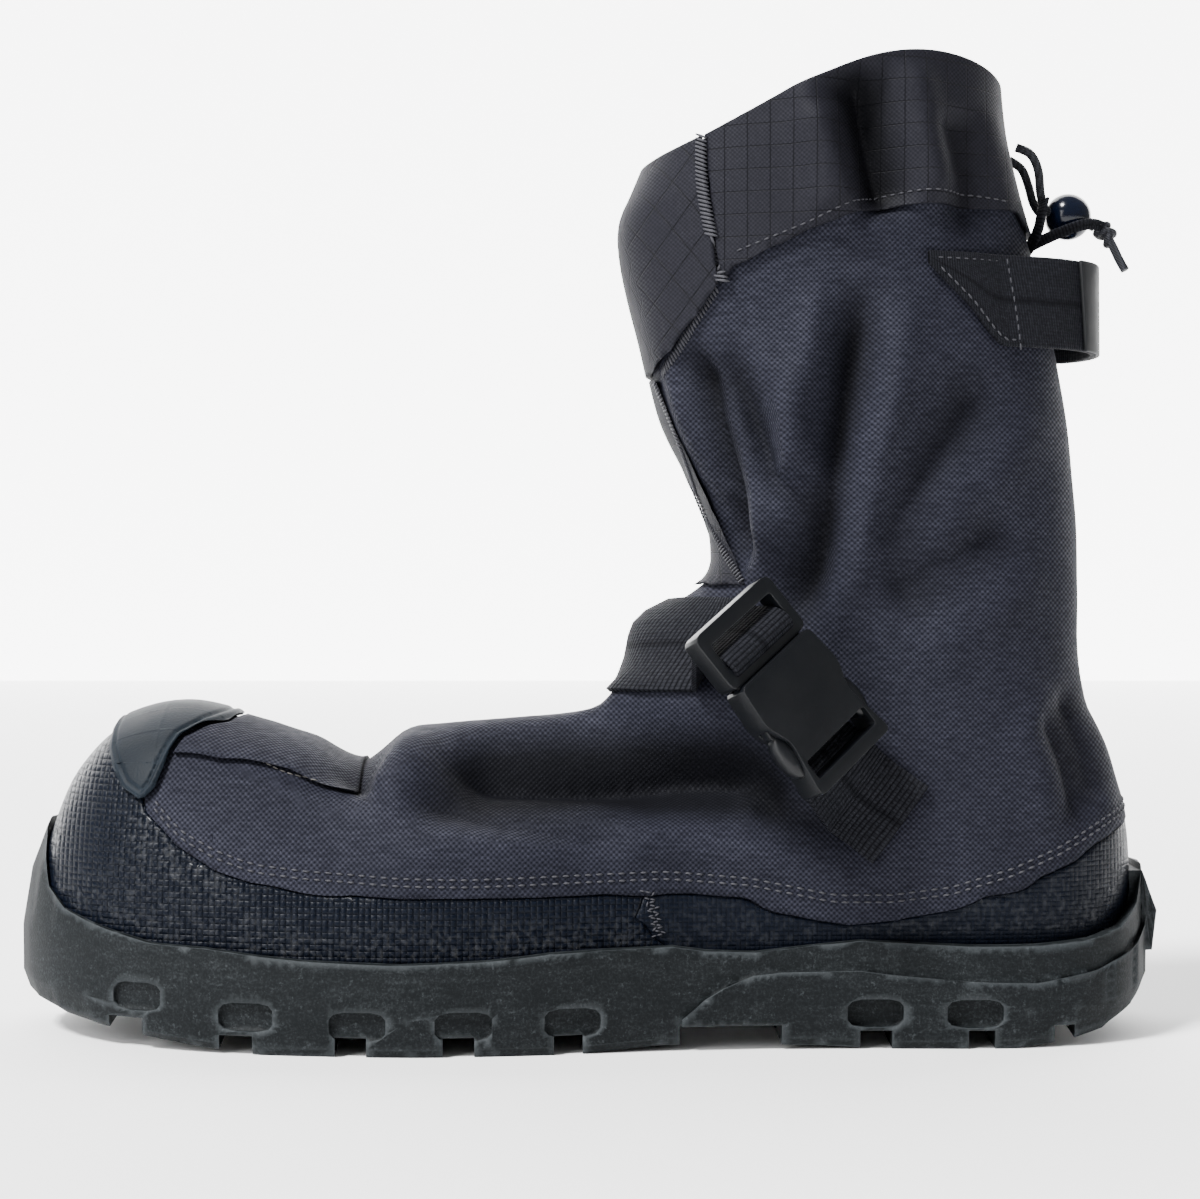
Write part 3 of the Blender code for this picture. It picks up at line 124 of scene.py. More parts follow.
# Folds of the cloth. side says where the fold lies; width and depth are in metres, a depth below zero is
# a ridge; shoulder is how far the cloth rises beside it, as a share of the depth; the path is in shares
# of the sole's length and the collar's height. Painted shade darkens the cloth's colour along a fold's
# trough, fully from the depth set below; cloth within ON_FORM of the form follows it, and beyond OFF_FORM
# it stays; no fold reaches the seam above the sole.
FOLD_COLUMNS = ("side", "width", "depth", "shoulder", "path")
FOLD_STRENGTH = 1.45
PAINTED_SHADE_DEPTH = 0.0065
ON_FORM, OFF_FORM = 0.006, 0.012
SEAM_CALM = 0.012
FOLD_ENDS = 0.22
VALLEY_POWER = 1.35
VALLEY_SHARPNESS = 1.1
SHOULDER_PLACE = 1.9
SHOULDER_SPREAD = 0.8
FOLDS = (
    ("outer", 0.0062, 0.0050, 0.45, ((0.746, 0.790), (0.731, 0.692), (0.724, 0.640), (0.711, 0.551),
                                     (0.690, 0.455), (0.672, 0.400))),
    ("outer", 0.0055, 0.0038, 0.40, ((0.612, 0.715), (0.638, 0.655), (0.663, 0.580), (0.694, 0.520))),
    ("outer", 0.0085, 0.0030, 0.40, ((0.862, 0.690), (0.800, 0.590), (0.737, 0.480))),
    ("outer", 0.0095, 0.0028, 0.40, ((0.875, 0.540), (0.815, 0.490), (0.750, 0.440))),
    ("outer", 0.0060, -0.0018, 0.0, ((0.690, 0.700), (0.680, 0.640), (0.683, 0.560))),
    ("outer", 0.0065, 0.0028, 0.35, ((0.915, 0.370), (0.940, 0.300), (0.955, 0.235))),
    ("outer", 0.0050, 0.0022, 0.35, ((0.895, 0.345), (0.918, 0.280), (0.932, 0.215))),
    ("outer", 0.0100, 0.0105, 0.25, ((0.355, 0.296), (0.430, 0.286), (0.520, 0.280), (0.620, 0.272),
                                     (0.700, 0.265))),
    ("outer", 0.0058, -0.0044, 0.0, ((0.352, 0.330), (0.430, 0.340), (0.520, 0.345), (0.560, 0.350))),
    ("outer", 0.0065, 0.0030, 0.40, ((0.340, 0.262), (0.430, 0.228), (0.560, 0.198))),
    ("outer", 0.0055, -0.0026, 0.0, ((0.354, 0.325), (0.340, 0.290), (0.322, 0.250))),
    ("outer", 0.0055, 0.0026, 0.30, ((0.335, 0.335), (0.322, 0.290), (0.306, 0.250))),
    ("outer", 0.0080, 0.0030, 0.35, ((0.640, 0.250), (0.700, 0.225), (0.760, 0.215))),
    ("outer", 0.0075, 0.0070, 0.40, ((0.735, 1.000), (0.745, 0.930), (0.762, 0.830))),
    ("outer", 0.0060, -0.0026, 0.0, ((0.700, 0.960), (0.716, 0.900), (0.735, 0.830))),
    ("outer", 0.0060, 0.0025, 0.30, ((0.815, 0.960), (0.830, 0.890), (0.835, 0.820))),
    ("inner", 0.0075, 0.0050, 0.45, ((0.740, 0.800), (0.722, 0.650), (0.700, 0.480), (0.680, 0.400))),
    ("inner", 0.0080, 0.0032, 0.40, ((0.620, 0.700), (0.650, 0.600), (0.690, 0.520))),
    ("inner", 0.0090, 0.0030, 0.40, ((0.880, 0.640), (0.810, 0.540), (0.745, 0.450))),
    ("inner", 0.0110, 0.0070, 0.25, ((0.380, 0.300), (0.500, 0.285), (0.640, 0.275), (0.720, 0.260))),
    ("inner", 0.0065, 0.0028, 0.35, ((0.900, 0.360), (0.925, 0.290), (0.940, 0.225))),
    ("inner", 0.0075, 0.0050, 0.40, ((0.720, 1.000), (0.735, 0.920), (0.745, 0.830))),
    ("both", 0.0070, 0.0022, 0.30, ((0.300, 0.340), (0.306, 0.300), (0.300, 0.250))),
    ("outer", 0.0034, 0.0050, 0.30, ((0.592, 0.730), (0.612, 0.640), (0.632, 0.560), (0.650, 0.470))),
    ("inner", 0.0034, 0.0040, 0.30, ((0.592, 0.730), (0.612, 0.640), (0.632, 0.560), (0.650, 0.470))),
)

# Routes of the cuff's cord, as the frame has them
CORD_NEAR_ROUTE = (
    (0.0290, -0.0060, 0.2455),
    (0.0330, -0.0064, 0.2435),
    (0.0352, -0.0062, 0.2390),
    (0.0362, -0.0044, 0.2325),
    (0.0380, -0.0026, 0.2284),
    (0.0430, -0.0018, 0.2271),
    (0.0480, -0.0016, 0.2262),
    (0.0520, -0.0018, 0.2244),
    (0.0548, -0.0024, 0.2218),
    (0.0566, -0.0034, 0.2182),
    (0.0580, -0.0046, 0.2146),
    (0.0596, -0.0056, 0.2112),
)
CORD_FAR_ROUTE = (
    (0.0290, 0.0060, 0.2440),
    (0.0326, 0.0064, 0.2415),
    (0.0344, 0.0060, 0.2370),
    (0.0357, 0.0042, 0.2312),
    (0.0380, 0.0026, 0.2280),
    (0.0430, 0.0018, 0.2270),
    (0.0480, 0.0015, 0.2262),
    (0.0524, 0.0013, 0.2241),
)

# The buckle's place: tilt, turn and roll in degrees
BUCKLE_TILT = 51.7
BUCKLE_TURN = 4.0
BUCKLE_ROLL = 33.0
BUCKLE_LENGTH = 0.052
BUCKLE_WIDTH = 0.031
BUCKLE_THICKNESS = 0.0085

# Centre line of the instep strap: angle in degrees from the front, + to the inner side, and height
STRAP = (
    (-40.0, 0.1065), (-20.0, 0.1062), (0.0, 0.1055), (20.0, 0.1062), (45.0, 0.1048), (66.0, 0.0908),
    (82.0, 0.0792), (100.0, 0.0650),
)
STRAP_AXIS_ALONG = 0.72
STRAP_STEPS = 90
STRAP_LANES = 9
STRAP_END = -0.40
TAB_END = (-0.0076, 0.0592)
TAB_STEPS = 26
TAB_LANES = 7
TAB_BUCKLE_END = 0.36
TAB_GAP = 0.009
STRAP_LIFT = 0.0006
TAB_LIFT = 0.0005
END_STEPS = 8
BELOW_BUCKLE = 0.0019

# The webbing's hump over the buckle's middle bar: place as a share of its length, and height in metres
HUMP = (
    (-0.405, -0.0022), (-0.385, 0.0010), (-0.362, 0.0045), (-0.325, 0.0072), (-0.280, 0.0084),
    (-0.235, 0.0083), (-0.200, 0.0066), (-0.183, 0.0036), (-0.176, 0.0006),
)
HUMP_WIDTH = 0.97

# The release levers: place in shares of the buckle, half sizes in metres, and how square their edge is
LEVER_PLACE = (0.255, 0.435, 0.52)
LEVER_HALF = (0.0066, 0.0032, 0.0029)
LEVER_SQUARENESS = 0.45

# The finger loop: angle in degrees from the back, how far it stands off, and its two edges as shares;
# its thread: pitch, length and width of a stitch, and how far the rows lie inside the edges
LOOP_HEIGHT = 0.1996
LOOP_REACH = 0.012
LOOP_STEPS = 90
LOOP_LANES = 7
LOOP_SEWN_STEPS = 20
LABEL_START = 0.36
LABEL_END = 0.64
LABEL_THICKNESS = 0.0011
LABEL_LIFT = 0.0002
LOOP_THREAD = (0.0026, 0.0021, 0.00055)
LOOP_INSET = 0.0018
LOOP = (
    (-58.0, 0.00, 1.00, 0.72), (-46.0, 0.00, 1.00, -0.12), (-35.0, 0.00, 1.00, -1.00),
    (-27.0, 0.22, 1.00, -1.00), (-18.0, 0.62, 1.00, -1.00), (-9.0, 0.93, 1.00, -1.00),
    (0.0, 1.00, 1.00, -1.00), (9.0, 0.93, 1.00, -1.00), (18.0, 0.62, 1.00, -1.00),
    (27.0, 0.22, 1.00, -1.00), (35.0, 0.00, 1.00, -1.00), (46.0, 0.00, 1.00, -0.12),
    (58.0, 0.00, 1.00, 0.72),
)

# Outline of the toe patch in side view, in shares of the sole's length and the instep's height
TOE_PATCH = (
    (0.087, 1.15), (0.087, 0.94), (0.090, 0.884), (0.098, 0.83), (0.109, 0.77), (0.126, 0.735),
    (0.131, 0.742), (0.139, 0.774), (0.145, 0.828), (0.149, 0.87), (0.157, 0.918), (0.175, 0.954),
    (0.199, 0.982), (0.212, 1.15),
)

BALL_CENTRE = (0.0446, 0.0, 0.2269)
BALL_RADIUS = 0.0065
KNOT_CENTRE = (0.0550, -0.0012, 0.2220)
KNOT_AXIS = (0.0046, -0.0016, -0.0062)

# The knot's wraps: tilt in degrees, place along the knot and radius in metres
KNOT_WRAPS = ((0, -0.0016, 0.0018), (38, 0.0, 0.0021), (-34, 0.0016, 0.0018))

# The tape that keeps the ball: a band behind it and a band under it
KEEPER_WIDTH = 0.0032
KEEPER_THICKNESS = 0.0008
KEEPERS = {
    "keeper_back": ((0.0290, -0.0020, 0.2140), (0.0328, -0.0048, 0.2172), (0.0352, -0.0070, 0.2222),
                    (0.0362, -0.0072, 0.2270), (0.0375, -0.0050, 0.2310)),
    "keeper_front": ((0.0330, -0.0050, 0.2180), (0.0368, -0.0062, 0.2198), (0.0412, -0.0070, 0.2217),
                     (0.0465, -0.0072, 0.2236), (0.0506, -0.0052, 0.2242), (0.0540, -0.0026, 0.2236)),
}

# The two rows of stitches that hold the rands: height above the nylon's lower edge, and the row's ends in
# side view. Round the heel they are found by turning about an axis, in degrees from the back.
RAND_ROWS = (0.0031, 0.0050)
RAND_START, RAND_END = 0.142, 0.905
HEEL_AXIS_ALONG = 0.90
HEEL_TURN = 86.0
HEEL_STEPS = 41
HEEL_SEEK_HEIGHT = 0.055

# Sewn lines in side view, in metres; the slant of a stitch to its line is in degrees
SEWN_COLUMNS = ("name", "thread", "path", "pitch", "length", "width", "slant")
SEWN = (
    ("cuff_overlock", "thread", ((-0.0599, 0.2500), (-0.0598, 0.2300), (-0.0560, 0.2100),
                                 (-0.0545, 0.2045)), 0.00115, 0.0052, 0.00085, 62.0),
    ("placket_overlock", "thread", ((-0.0722, 0.1790), (-0.0640, 0.1580), (-0.0560, 0.1380),
                                    (-0.0485, 0.1240)), 0.00115, 0.0034, 0.00075, 70.0),
    ("tab_edge", "thread", ((-0.0700, 0.1815), (-0.0640, 0.1905), (-0.0560, 0.2030)),
     0.00115, 0.0036, 0.00075, 70.0),
    ("strip_edge", "pale_thread", ((-0.1790, 0.0752), (-0.1720, 0.0722), (-0.1640, 0.0702)),
     0.0022, 0.0021, 0.00045, 0.0),
    ("rand_zigzag", "thread", tuple((-0.0762 + step * 0.00022 + step % 2 * 0.0030, 0.0418 - step * 0.00085)
                                    for step in range(15)), 0.0016, 0.0017, 0.00050, 0.0),
    ("cuff_hem", "thread", ((-0.0500, 0.2125), (-0.0330, 0.2190), (-0.0180, 0.2255), (-0.0050, 0.2280),
                            (0.0100, 0.2285), (0.0230, 0.2275)), 0.0026, 0.0019, 0.00050, 0.0),
)

# Merging distance of a frame node's copy, and the most times that its long edges are halved
MERGE = 2e-6
SPLIT_PASSES = 6

# The toe patch's sewing groove: distance from its edge, spread and depth; and the rounding of its rim
PATCH_GROOVE = (0.0021, 0.00045, 0.00055)
PATCH_RIM = 0.0007

# Half size of the floor and the backdrop, the backdrop's middle, and the lights' directions
STAGE_HALF = 4.0
WALL_MIDDLE = (0.0, 3.0, 2.0)
KEY_DIRECTION = (0.46, 0.34, -0.82)
KEY_SPREAD = 14.0
FILL_PLACE = (-1.1, -0.9, 0.55)
FILL_DIRECTION = (1.0, 0.9, -0.45)
FILL_SIZE = 0.8


def length_property(label, text, value):
    """Size property in metres."""
    return bpy.props.FloatProperty(name=label, description=text, default=value, unit="LENGTH")


def colour_property(label, text, value):
    """Colour property."""
    return bpy.props.FloatVectorProperty(name=label, description=text, default=value, size=3,
                                         subtype="COLOR", min=0.0, max=1.0)


class OvershoeSizes(bpy.types.PropertyGroup):
    """Sizes of the overshoe and of its finer work."""

    sole_length: length_property("Sole length", "Toe to heel of the rubber sole", 0.3148)
    ball_width: length_property("Ball width", "Width of the sole over the ball", 0.118)
    shaft_width: length_property("Shaft width", "Width of the shaft", 0.088)
    instep_height: length_property("Instep height", "Ground to the instep", 0.089)
    collar_height: length_property("Collar height", "Ground to the collar", 0.264)
    cloth_edge: length_property("Cloth mesh", "Longest edge of a cloth mesh", 0.0021)
    upper_edge: length_property("Upper's mesh", "Longest edge of the upper's mesh", 0.0034)
    rubber_edge: length_property("Rubber mesh", "Longest edge of a rubber mesh", 0.0032)
    drift: length_property("Cloth drift", "Height of the cloth's small unevenness", 0.0005)
    drift_span: length_property("Drift span", "Breadth of the cloth's small unevenness", 0.020)
    weave_pitch: length_property("Weave pitch", "Thread to thread of the nylon", 0.00075)
    rand_pitch: length_property("Rand pitch", "Thread to thread of the coated rand", 0.0016)
    ripstop_pitch: length_property("Ripstop pitch", "Square of the cuff's grid", 0.0060)
    rib_pitch: length_property("Rib pitch", "Rib to rib of the strap", 0.0014)
    stitch_pitch: length_property("Stitch pitch", "Stitch to stitch", 0.0030)
    stitch_length: length_property("Stitch length", "Length of one stitch", 0.0022)
    stitch_width: length_property("Stitch width", "Width of one stitch", 0.00062)
    webbing_width: length_property("Webbing width", "Width of strap and loop", 0.025)
    webbing_thickness: length_property("Webbing thickness", "Thickness of strap and loop", 0.0015)
    cord_diameter: length_property("Cord diameter", "Diameter of the cuff's cord", 0.0025)


class OvershoeColours(bpy.types.PropertyGroup):
    """Colours of the overshoe and of the stage."""

    nylon: colour_property("Nylon", "Nylon of the upper", (0.0026, 0.0029, 0.0056))
    # Painted highlight: colour of the nylon's thread tops where they catch the light.
    glint: colour_property("Thread glint", "Top of the nylon's threads", (0.0290, 0.0300, 0.0440))
    ripstop: colour_property("Ripstop", "Cloth of the cuff", (0.0040, 0.0040, 0.0064))
    # Painted highlight: colour of the cuff's thread tops where they catch the light, not of its grid lines.
    ripstop_glint: colour_property("Ripstop line", "Grid lines of the cuff", (0.0170, 0.0170, 0.0230))
    rand: colour_property("Rand", "Coated cloth above the sole", (0.0014, 0.0022, 0.0046))
    rubber: colour_property("Rubber", "Rubber of the sole", (0.0034, 0.0046, 0.0053))
    # Dust, and the painted highlight on the sole's outward edges.
    dust_and_edge_highlight: colour_property("Dust", "Pale scuffs on the sole", (0.0720, 0.0810, 0.0870))
    patch: colour_property("Toe patch", "Rubber patch on the toe", (0.0034, 0.0054, 0.0080))
    webbing: colour_property("Webbing", "Strap and loops", (0.0008, 0.0009, 0.0016))
    # Painted highlight: colour of the tops of the webbing's ribs and of the cord's braid where they catch
    # the light.
    rib: colour_property("Webbing rib", "Tops of the strap's ribs", (0.0230, 0.0240, 0.0300))
    thread: colour_property("Thread", "Sewing thread", (0.0500, 0.0500, 0.0580))
    pale_thread: colour_property("Pale thread", "Thread along the vamp strip", (0.110, 0.105, 0.100))
    plastic: colour_property("Plastic", "Buckle", (0.0012, 0.0017, 0.0027))
    ball: colour_property("Ball", "Cord lock", (0.0016, 0.0032, 0.0090))
    lining: colour_property("Lining", "Inside of the boot", (0.0050, 0.0050, 0.0070))
    floor: colour_property("Floor", "Floor under the boot", (0.90, 0.90, 0.90))


class OvershoeStage(bpy.types.PropertyGroup):
    """Camera and lights."""

    camera_along: length_property("Camera along", "Camera's place along the boot", -0.0874)
    camera_back: length_property("Camera distance", "Camera to the boot's middle", 0.714)
    camera_height: length_property("Camera height", "Camera above the floor", 0.119)
    lens: bpy.props.FloatProperty(name="Lens", description="Lens of the camera in millimetres",
                                  default=75.9, min=10.0)
    key_power: bpy.props.FloatProperty(name="Key light", description="Strength of the key light",
                                       default=9.5, min=0.0)
    fill_power: bpy.props.FloatProperty(name="Fill light", description="Power of the fill light in watts",
                                        default=15.0, min=0.0)
    wall_glow: bpy.props.FloatProperty(name="Backdrop", description="Strength of the backdrop's own light",
                                       default=4.6, min=0.0)
    world_strength: bpy.props.FloatProperty(name="Surroundings", description="Strength of the soft light",
                                            default=0.42, min=0.0)


def sizes():
    """Size properties."""
    return bpy.context.scene.overshoe_sizes


def colours():
    """Colour properties."""
    return bpy.context.scene.overshoe_colours


def column(rows, names, name):
    """Values of one named column of a table."""
    place = names.index(name)
    return [row[place] for row in rows]


def hermite(low, high, slope_low, slope_high, span, part):
    """Cubic between two values with given slopes."""
    square = part * part
    cube = square * part
    return ((2 * cube - 3 * square + 1) * low + (cube - 2 * square + part) * span * slope_low
            + (3 * square - 2 * cube) * high + (cube - square) * span * slope_high)


def read_curve(keys, values, key):
    """Value at a key on a smooth curve that never overshoots its points."""
    if key <= keys[0]:
        return values[0]
    if key >= keys[-1]:
        return values[-1]
    place = max(index for index in range(len(keys) - 1) if keys[index] <= key)
    slopes = []
    for index in (place, place + 1):
        before = max(index - 1, 0)
        after = min(index + 1, len(keys) - 1)
        left = (values[index] - values[before]) / max(keys[index] - keys[before], 1e-9)
        right = (values[after] - values[index]) / max(keys[after] - keys[index], 1e-9)
        if index in (0, len(keys) - 1):
            slopes.append(left + right)
        elif left * right <= 0:
            slopes.append(0.0)
        else:
            slopes.append(2 * left * right / (left + right))
    span = keys[place + 1] - keys[place]
    part = (key - keys[place]) / span
    return hermite(values[place], values[place + 1], slopes[0], slopes[1], span, part)


def ease(low, high, value):
    """Smooth step from 0 at low to 1 at high."""
    part = np.clip((value - low) / (high - low), 0.0, 1.0)
    return part * part * (3 - 2 * part)


def along(share):
    """X of a place along the sole."""
    return (share - HEEL_REST_ALONG) * sizes().sole_length


def seam_height(x):
    """Height of the nylon's lower edge at X."""
    return np.interp(x, [along(row[0]) for row in SEAM], [row[1] for row in SEAM])


class BootForm:
    """The boot's smooth form, read at levels up the boot and turns round it."""

    def __init__(self):
        made = sizes()
        self.rows = np.array(FORM)
        self.last = len(FORM) - 1
        self.turns = np.linspace(0, math.pi, 721)
        keys = [math.acos(1 - 2 * value) for value in column(OUTLINE, OUTLINE_COLUMNS, "along")]
        self.half = {}
        for side in ("outer", "inner"):
            widths = column(OUTLINE, OUTLINE_COLUMNS, side)
            self.half[side] = np.array([made.ball_width * read_curve(keys, widths, turn)
                                        for turn in self.turns])
        levels = np.repeat(np.linspace(0, self.last, FORM_RINGS), RING_POINTS)
        turns = np.tile(np.arange(RING_POINTS) * 2 * math.pi / RING_POINTS, FORM_RINGS)
        points = self.point(levels, turns)
        faces = []
        self.corners = []
        for level in range(FORM_RINGS - 1):
            for index in range(RING_POINTS):
                after = (index + 1) % RING_POINTS
                low = level * RING_POINTS
                high = low + RING_POINTS
                faces.append((low + index, low + after, high + after))
                faces.append((low + index, high + after, high + index))
                self.corners.append(((level, index), (level, index + 1), (level + 1, index + 1)))
                self.corners.append(((level, index), (level + 1, index + 1), (level + 1, index)))
        self.points = points
        self.faces = np.array(faces)
        self.corners = np.array(self.corners, float)
        self.tree = BVHTree.FromPolygons([Vector(point) for point in points], faces)

    def outline_half(self, share, side):
        """Half-width of the sole on one side."""
        turn = np.arccos(1 - 2 * np.clip(share, 0, 1))
        return np.interp(turn, self.turns, self.half[side])

    def point(self, level, turn):
        """Points of the form."""
        made = sizes()
        place = np.clip(level.astype(int), 0, self.last - 1)
        part = (level - place)[:, None]
        before, low, high, after = (self.rows[np.clip(place + shift, 0, self.last)]
                                    for shift in (-1, 0, 1, 2))
        row = dict(zip(FORM_COLUMNS, hermite(low, high, (high - before) / 2, (after - low) / 2, 1.0,
                                             part).T))
        rise_up = made.collar_height - made.instep_height
        heights = {}
        for end in ("front", "back"):
            share = row[end + "_up"]
            heights[end] = np.where(share <= 1, share * made.instep_height,
                                    made.instep_height + (share - 1) * rise_up)
        zero = np.zeros_like(level)
        back = np.stack([along(row["back_along"]), zero, heights["back"]], 1)
        front = np.stack([along(row["front_along"]), zero, heights["front"]], 1)
        rise = front - back
        spine = np.stack([-rise[:, 2], zero, rise[:, 0]], 1)
        spine /= np.linalg.norm(spine, axis=1)[:, None]
        turned = (spine[:, 2] < 0) & (row["back_up"] > 0.6)
        spine[turned] *= -1
        width = {}
        for side in ("outer", "inner"):
            foot = np.maximum(self.outline_half(row["back_along"], side) - SOLE_CLEARANCE, 0.002)
            width[side] = row["outline"] * foot + row["shaft"] * made.shaft_width
        forward = np.cos(turn)
        square = np.where(forward > 0, row["square_front"], row["square_back"])
        across = np.sign(np.sin(turn)) * np.abs(np.sin(turn)) ** (2 / square)
        climb = np.sign(forward) * np.abs(forward) ** (2 / square)
        room = np.where(forward > 0, 1 - row["widest"], row["widest"])
        share = row["widest"] + climb * room
        result = back + rise * share[:, None]
        result[:, 1] += (width["inner"] - width["outer"]) / 2
        result[:, 1] += (width["inner"] + width["outer"]) / 2 * across
        lift = row["lift"] * rise_up * LIFT_PEAK * share * (1 - share) ** 2
        return result + spine * lift[:, None]

    def normal(self, level, turn, base):
        """Outward directions of the form."""
        step = 0.02
        low = np.clip(level - step, 0, self.last)
        high = np.clip(level + step, 0, self.last)
        rise = self.point(high, turn) - self.point(low, turn)
        run = self.point(level, turn + step) - self.point(level, turn - step)
        out = np.cross(run, rise)
        size = np.linalg.norm(out, axis=1)
        out /= np.maximum(size, 1e-12)[:, None]
        front, back = (self.point(level, np.full_like(turn, angle)) for angle in (0.0, math.pi))
        middle = (front + back) / 2
        wrong = np.einsum("ij,ij->i", out, base - middle) < 0
        out[wrong] *= -1
        return out

    def read(self, places):
        """Level, turn, smooth base, faceted base and direction under each place."""
        found = [self.tree.find_nearest(Vector(place)) for place in places]
        flat = np.array([item[0] for item in found])
        index = np.array([item[2] for item in found])
        corner = self.points[self.faces[index]]
        first = corner[:, 1] - corner[:, 0]
        second = corner[:, 2] - corner[:, 0]
        third = flat - corner[:, 0]
        a = np.einsum("ij,ij->i", first, first)
        b = np.einsum("ij,ij->i", first, second)
        c = np.einsum("ij,ij->i", second, second)
        d = np.einsum("ij,ij->i", third, first)
        e = np.einsum("ij,ij->i", third, second)
        whole = np.maximum(a * c - b * b, 1e-20)
        v = (c * d - b * e) / whole
        w = (a * e - b * d) / whole
        weight = np.clip(np.stack([1 - v - w, v, w], 1), 0, 1)
        weight /= weight.sum(1)[:, None]
        grid = np.einsum("ij,ijk->ik", weight, self.corners[index])
        level = grid[:, 0] * self.last / (FORM_RINGS - 1)
        turn = grid[:, 1] * 2 * math.pi / RING_POINTS
        base = self.point(level, turn)
        return level, turn, base, flat, self.normal(level, turn, base)


def path_distance(x, z, path):
    """Distance in side view to a path, and how far along it the nearest point is."""
    made = sizes()
    points = np.array([(along(share), height * made.collar_height) for share, height in path])
    lengths = np.linalg.norm(np.diff(points, axis=0), axis=1)
    starts = np.concatenate([[0], np.cumsum(lengths)])
    best = np.full(len(x), 1e9)
    place = np.zeros(len(x))
    here = np.stack([x, z], 1)
    for index, span in enumerate(lengths):
        run = (points[index + 1] - points[index]) / span
        part = np.clip((here - points[index]) @ run, 0, span)
        gap = np.linalg.norm(here - points[index] - part[:, None] * run, axis=1)
        nearer = gap < best
        best = np.where(nearer, gap, best)
        place = np.where(nearer, (starts[index] + part) / starts[-1], place)
    return best, place


def fold_height(base, out):
    """How far the cloth stands off the smooth form, from its folds and its slight unevenness."""
    made = sizes()
    height = np.zeros(len(base))
    x, z = base[:, 0], base[:, 2]
    facing = {"outer": ease(0.05, 0.55, -out[:, 1]), "inner": ease(0.05, 0.55, out[:, 1]),
              "both": np.ones(len(x))}
    for row in FOLDS:
        fold = dict(zip(FOLD_COLUMNS, row))
        gap, place = path_distance(x, z, fold["path"])
        reach = gap / fold["width"]
        taper = ease(0.0, FOLD_ENDS, place) * ease(0.0, FOLD_ENDS, 1 - place)
        trough = np.exp(-VALLEY_SHARPNESS * reach ** VALLEY_POWER)
        beside = fold["shoulder"] * np.exp(-((reach - SHOULDER_PLACE) / SHOULDER_SPREAD) ** 2)
        height -= fold["depth"] * FOLD_STRENGTH * (trough - beside) * taper * facing[fold["side"]]
    spread = np.array([noise.noise(Vector(place) / made.drift_span) for place in base])
    height += spread * made.drift
    return height * ease(0.0, SEAM_CALM, z - seam_height(x))


def split_copy(node, edge):
    """Merged copy of a frame node's mesh with no long edges."""
    data = bmesh.new()
    data.from_mesh(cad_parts[node].data)
    bmesh.ops.remove_doubles(data, verts=data.verts, dist=MERGE)
    for _ in range(SPLIT_PASSES):
        long_edges = [item for item in data.edges if item.calc_length() > edge]
        if not long_edges:
            break
        bmesh.ops.subdivide_edges(data, edges=long_edges, cuts=1)
        wide = [face for face in data.faces if len(face.verts) > 3]
        bmesh.ops.triangulate(data, faces=wide, quad_method="SHORT_EDGE", ngon_method="EAR_CLIP")
    data.verts.index_update()
    alike = {}
    for face in data.faces:
        alike.setdefault(frozenset(vertex.index for vertex in face.verts), []).append(face)
    doubled = [face for faces in alike.values() for face in faces[len(faces) % 2:]]
    bmesh.ops.delete(data, geom=doubled, context="FACES")
    return data


def place_mesh(name, data, material, sharp_degrees=40):
    """New piece for a finished bmesh, riding on the boot."""
    mesh = bpy.data.meshes.new(name)
    data.to_mesh(mesh)
    data.free()
    piece = bpy.data.objects.new(name, mesh)
    bpy.context.scene.collection.objects.link(piece)
    mesh.materials.append(material)
    mesh.shade_smooth()
    if sharp_degrees:
        mesh.set_sharp_from_angle(angle=math.radians(sharp_degrees))
    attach(piece, "root")
    return piece


def vertex_array(mesh):
    """Places of a mesh's vertices."""
    places = np.empty(len(mesh.vertices) * 3)
    mesh.vertices.foreach_get("co", places)
    return places.reshape(-1, 3)


def dress(form, node, name, material, edge=None, folds=1.0):
    """Cloth piece from a frame node: its own cut, on the smooth form, with the boot's folds."""
    data = split_copy(node, edge or sizes().cloth_edge)
    piece = place_mesh(name, data, material, 0)
    mesh = piece.data
    places = vertex_array(mesh)
    _, _, base, flat, out = form.read(places)
    stand = np.einsum("ij,ij->i", places - flat, out)
    near = ease(OFF_FORM, ON_FORM, np.linalg.norm(places - flat, axis=1))
    rise = fold_height(base, out) * folds
    moved = places + ((base - flat) + out * rise[:, None]) * near[:, None]
    # Painted shade: how deep each point lies in a fold, kept for the cloth's colour to darken there.
    hollow = mesh.attributes.new("hollow", "FLOAT", "POINT")
    hollow.data.foreach_set("value", np.clip(-rise / PAINTED_SHADE_DEPTH, 0.0, 1.0).astype(np.float32))
    mesh.vertices.foreach_set("co", moved.ravel())
    mesh.update()
    mesh.set_sharp_from_angle(angle=math.radians(44))
    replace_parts(piece, node)
    return piece, stand


class Wire:
    """A shader socket, or a number, that takes part in Python expressions."""

    def __init__(self, graph, socket):
        self.graph = graph
        self.socket = socket

    def __add__(self, other):
        return self.graph.math("ADD", self, other)

    def __radd__(self, other):
        return self.graph.math("ADD", other, self)

    def __sub__(self, other):
        return self.graph.math("SUBTRACT", self, other)

    def __rsub__(self, other):
        return self.graph.math("SUBTRACT", other, self)

    def __mul__(self, other):
        return self.graph.math("MULTIPLY", self, other)

    def __rmul__(self, other):
        return self.graph.math("MULTIPLY", other, self)

    def __truediv__(self, other):
        return self.graph.math("DIVIDE", self, other)

    def __pow__(self, other):
        return self.graph.math("POWER", self, other)

    def sine(self):
        return self.graph.math("SINE", self)

    def size(self):
        return self.graph.math("ABSOLUTE", self)

    def above(self, limit):
        return self.graph.math("GREATER_THAN", self, limit)

    def held(self):
        """Kept between 0 and 1."""
        return self.graph.node("ShaderNodeClamp", inputs={"Value": self})


